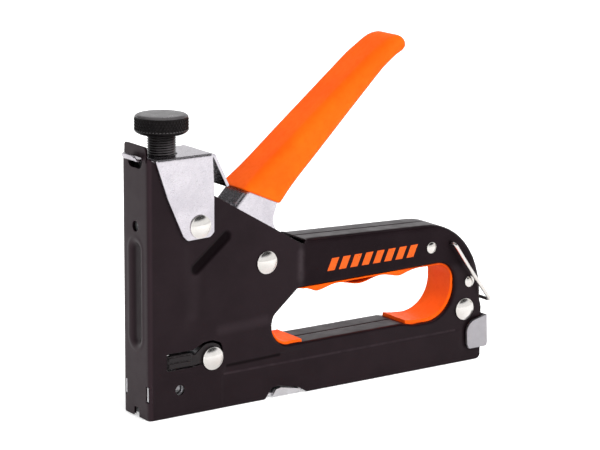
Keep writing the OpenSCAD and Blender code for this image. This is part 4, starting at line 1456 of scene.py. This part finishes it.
def studio_world():
    """White to the camera, grey sky for light, a banded sky for reflections."""
    world = bpy.data.worlds.new("studio")
    scene.world = world
    nodes = Nodes(world, "ShaderNodeOutputWorld")
    direction = nodes("ShaderNodeTexCoord").outputs["Generated"]
    height = nodes("ShaderNodeSeparateXYZ", {0: direction}).outputs[2]
    ray = nodes("ShaderNodeLightPath").outputs

    def sky(stops):
        """Grey levels by height: (position, level)."""
        ramp = nodes("ShaderNodeValToRGB", {0: height})
        elements = ramp.color_ramp.elements
        for i in (0, -1):
            position, level = stops[i]
            elements[i].position, elements[i].color = position, (level, level, level, 1)
        for position, level in stops[1:-1]:
            elements.new(position).color = (level, level, level * 1.01, 1)
        return ramp.outputs[0]

    # the mirror-like parts see a bright wall up to a dark ceiling
    skies = nodes.mix(ray["Is Glossy Ray"],
                      sky([(0.0, 0.85), (0.42, 0.74), (0.72, 0.50), (1.0, 0.40)]),
                      sky([(0.0, 0.95), (0.31, 0.92), (0.42, 0.05), (0.74, 0.035), (0.90, 0.5)]))
    shown, white = (nodes("ShaderNodeBackground", {0: color, 1: 1.0}).outputs[0]
                    for color in (skies, (1, 1, 1)))
    nodes.output(nodes("ShaderNodeMixShader",
                       {0: ray["Is Camera Ray"], 1: shown, 2: white}).outputs[0])


def area_light(name, location, size, power):
    """Soft light aimed at the middle of the tool, not seen in reflections; m and W."""
    data = bpy.data.lights.new(name, "AREA")
    data.shape, data.energy = "RECTANGLE", power
    data.size, data.size_y = size
    ob = bpy.data.objects.new(name, data)
    ob.location = location
    ob.rotation_mode = "QUATERNION"
    aim = (cad_lo + cad_hi) / 2 - Vector(location)
    ob.rotation_quaternion = aim.to_track_quat("-Z", "Y")
    ob.visible_glossy = False
    scene.collection.objects.link(ob)


def place_camera():
    azimuth, elevation, roll = map(math.radians, (-34.7577, 12.9875, 0.40591))
    nose_seen = (-0.06722968, -0.07861592, 1.009872)  # nose from the camera: right, up, ahead; m
    back = Vector((math.sin(azimuth) * math.cos(elevation),
                   -math.cos(azimuth) * math.cos(elevation), math.sin(elevation)))
    level = (-back).cross(Vector((0, 0, 1))).normalized()
    upward = level.cross(-back)
    right = math.cos(roll) * level + math.sin(roll) * upward
    up = -math.sin(roll) * level + math.cos(roll) * upward
    to_nose = right * nose_seen[0] + up * nose_seen[1] - back * nose_seen[2]
    data = bpy.data.cameras.new("camera")
    data.sensor_width = 36.0
    data.lens = 147.099
    data.clip_start, data.clip_end = 0.05, 60
    camera = bpy.data.objects.new("camera", data)
    turn = Matrix((right, up, back)).transposed().to_4x4()
    camera.matrix_world = Matrix.Translation(Vector((NOSE, 0, 0)) - to_nose) @ turn
    scene.collection.objects.link(camera)
    scene.camera = camera


stage_floor()
studio_world()
area_light("key", location=(0.15, -1.00, 1.10), size=(0.7, 0.7), power=17.0)
area_light("fill", location=(0.9, -0.7, 0.75), size=(0.8, 0.8), power=7.0)
area_light("rim", location=(0.1, 0.95, 0.8), size=(0.9, 0.5), power=6.0)
scene.view_settings.view_transform = "Standard"
scene.view_settings.look = "None"
scene.view_settings.exposure = 0.0
scene.view_settings.gamma = 1.0
place_camera()
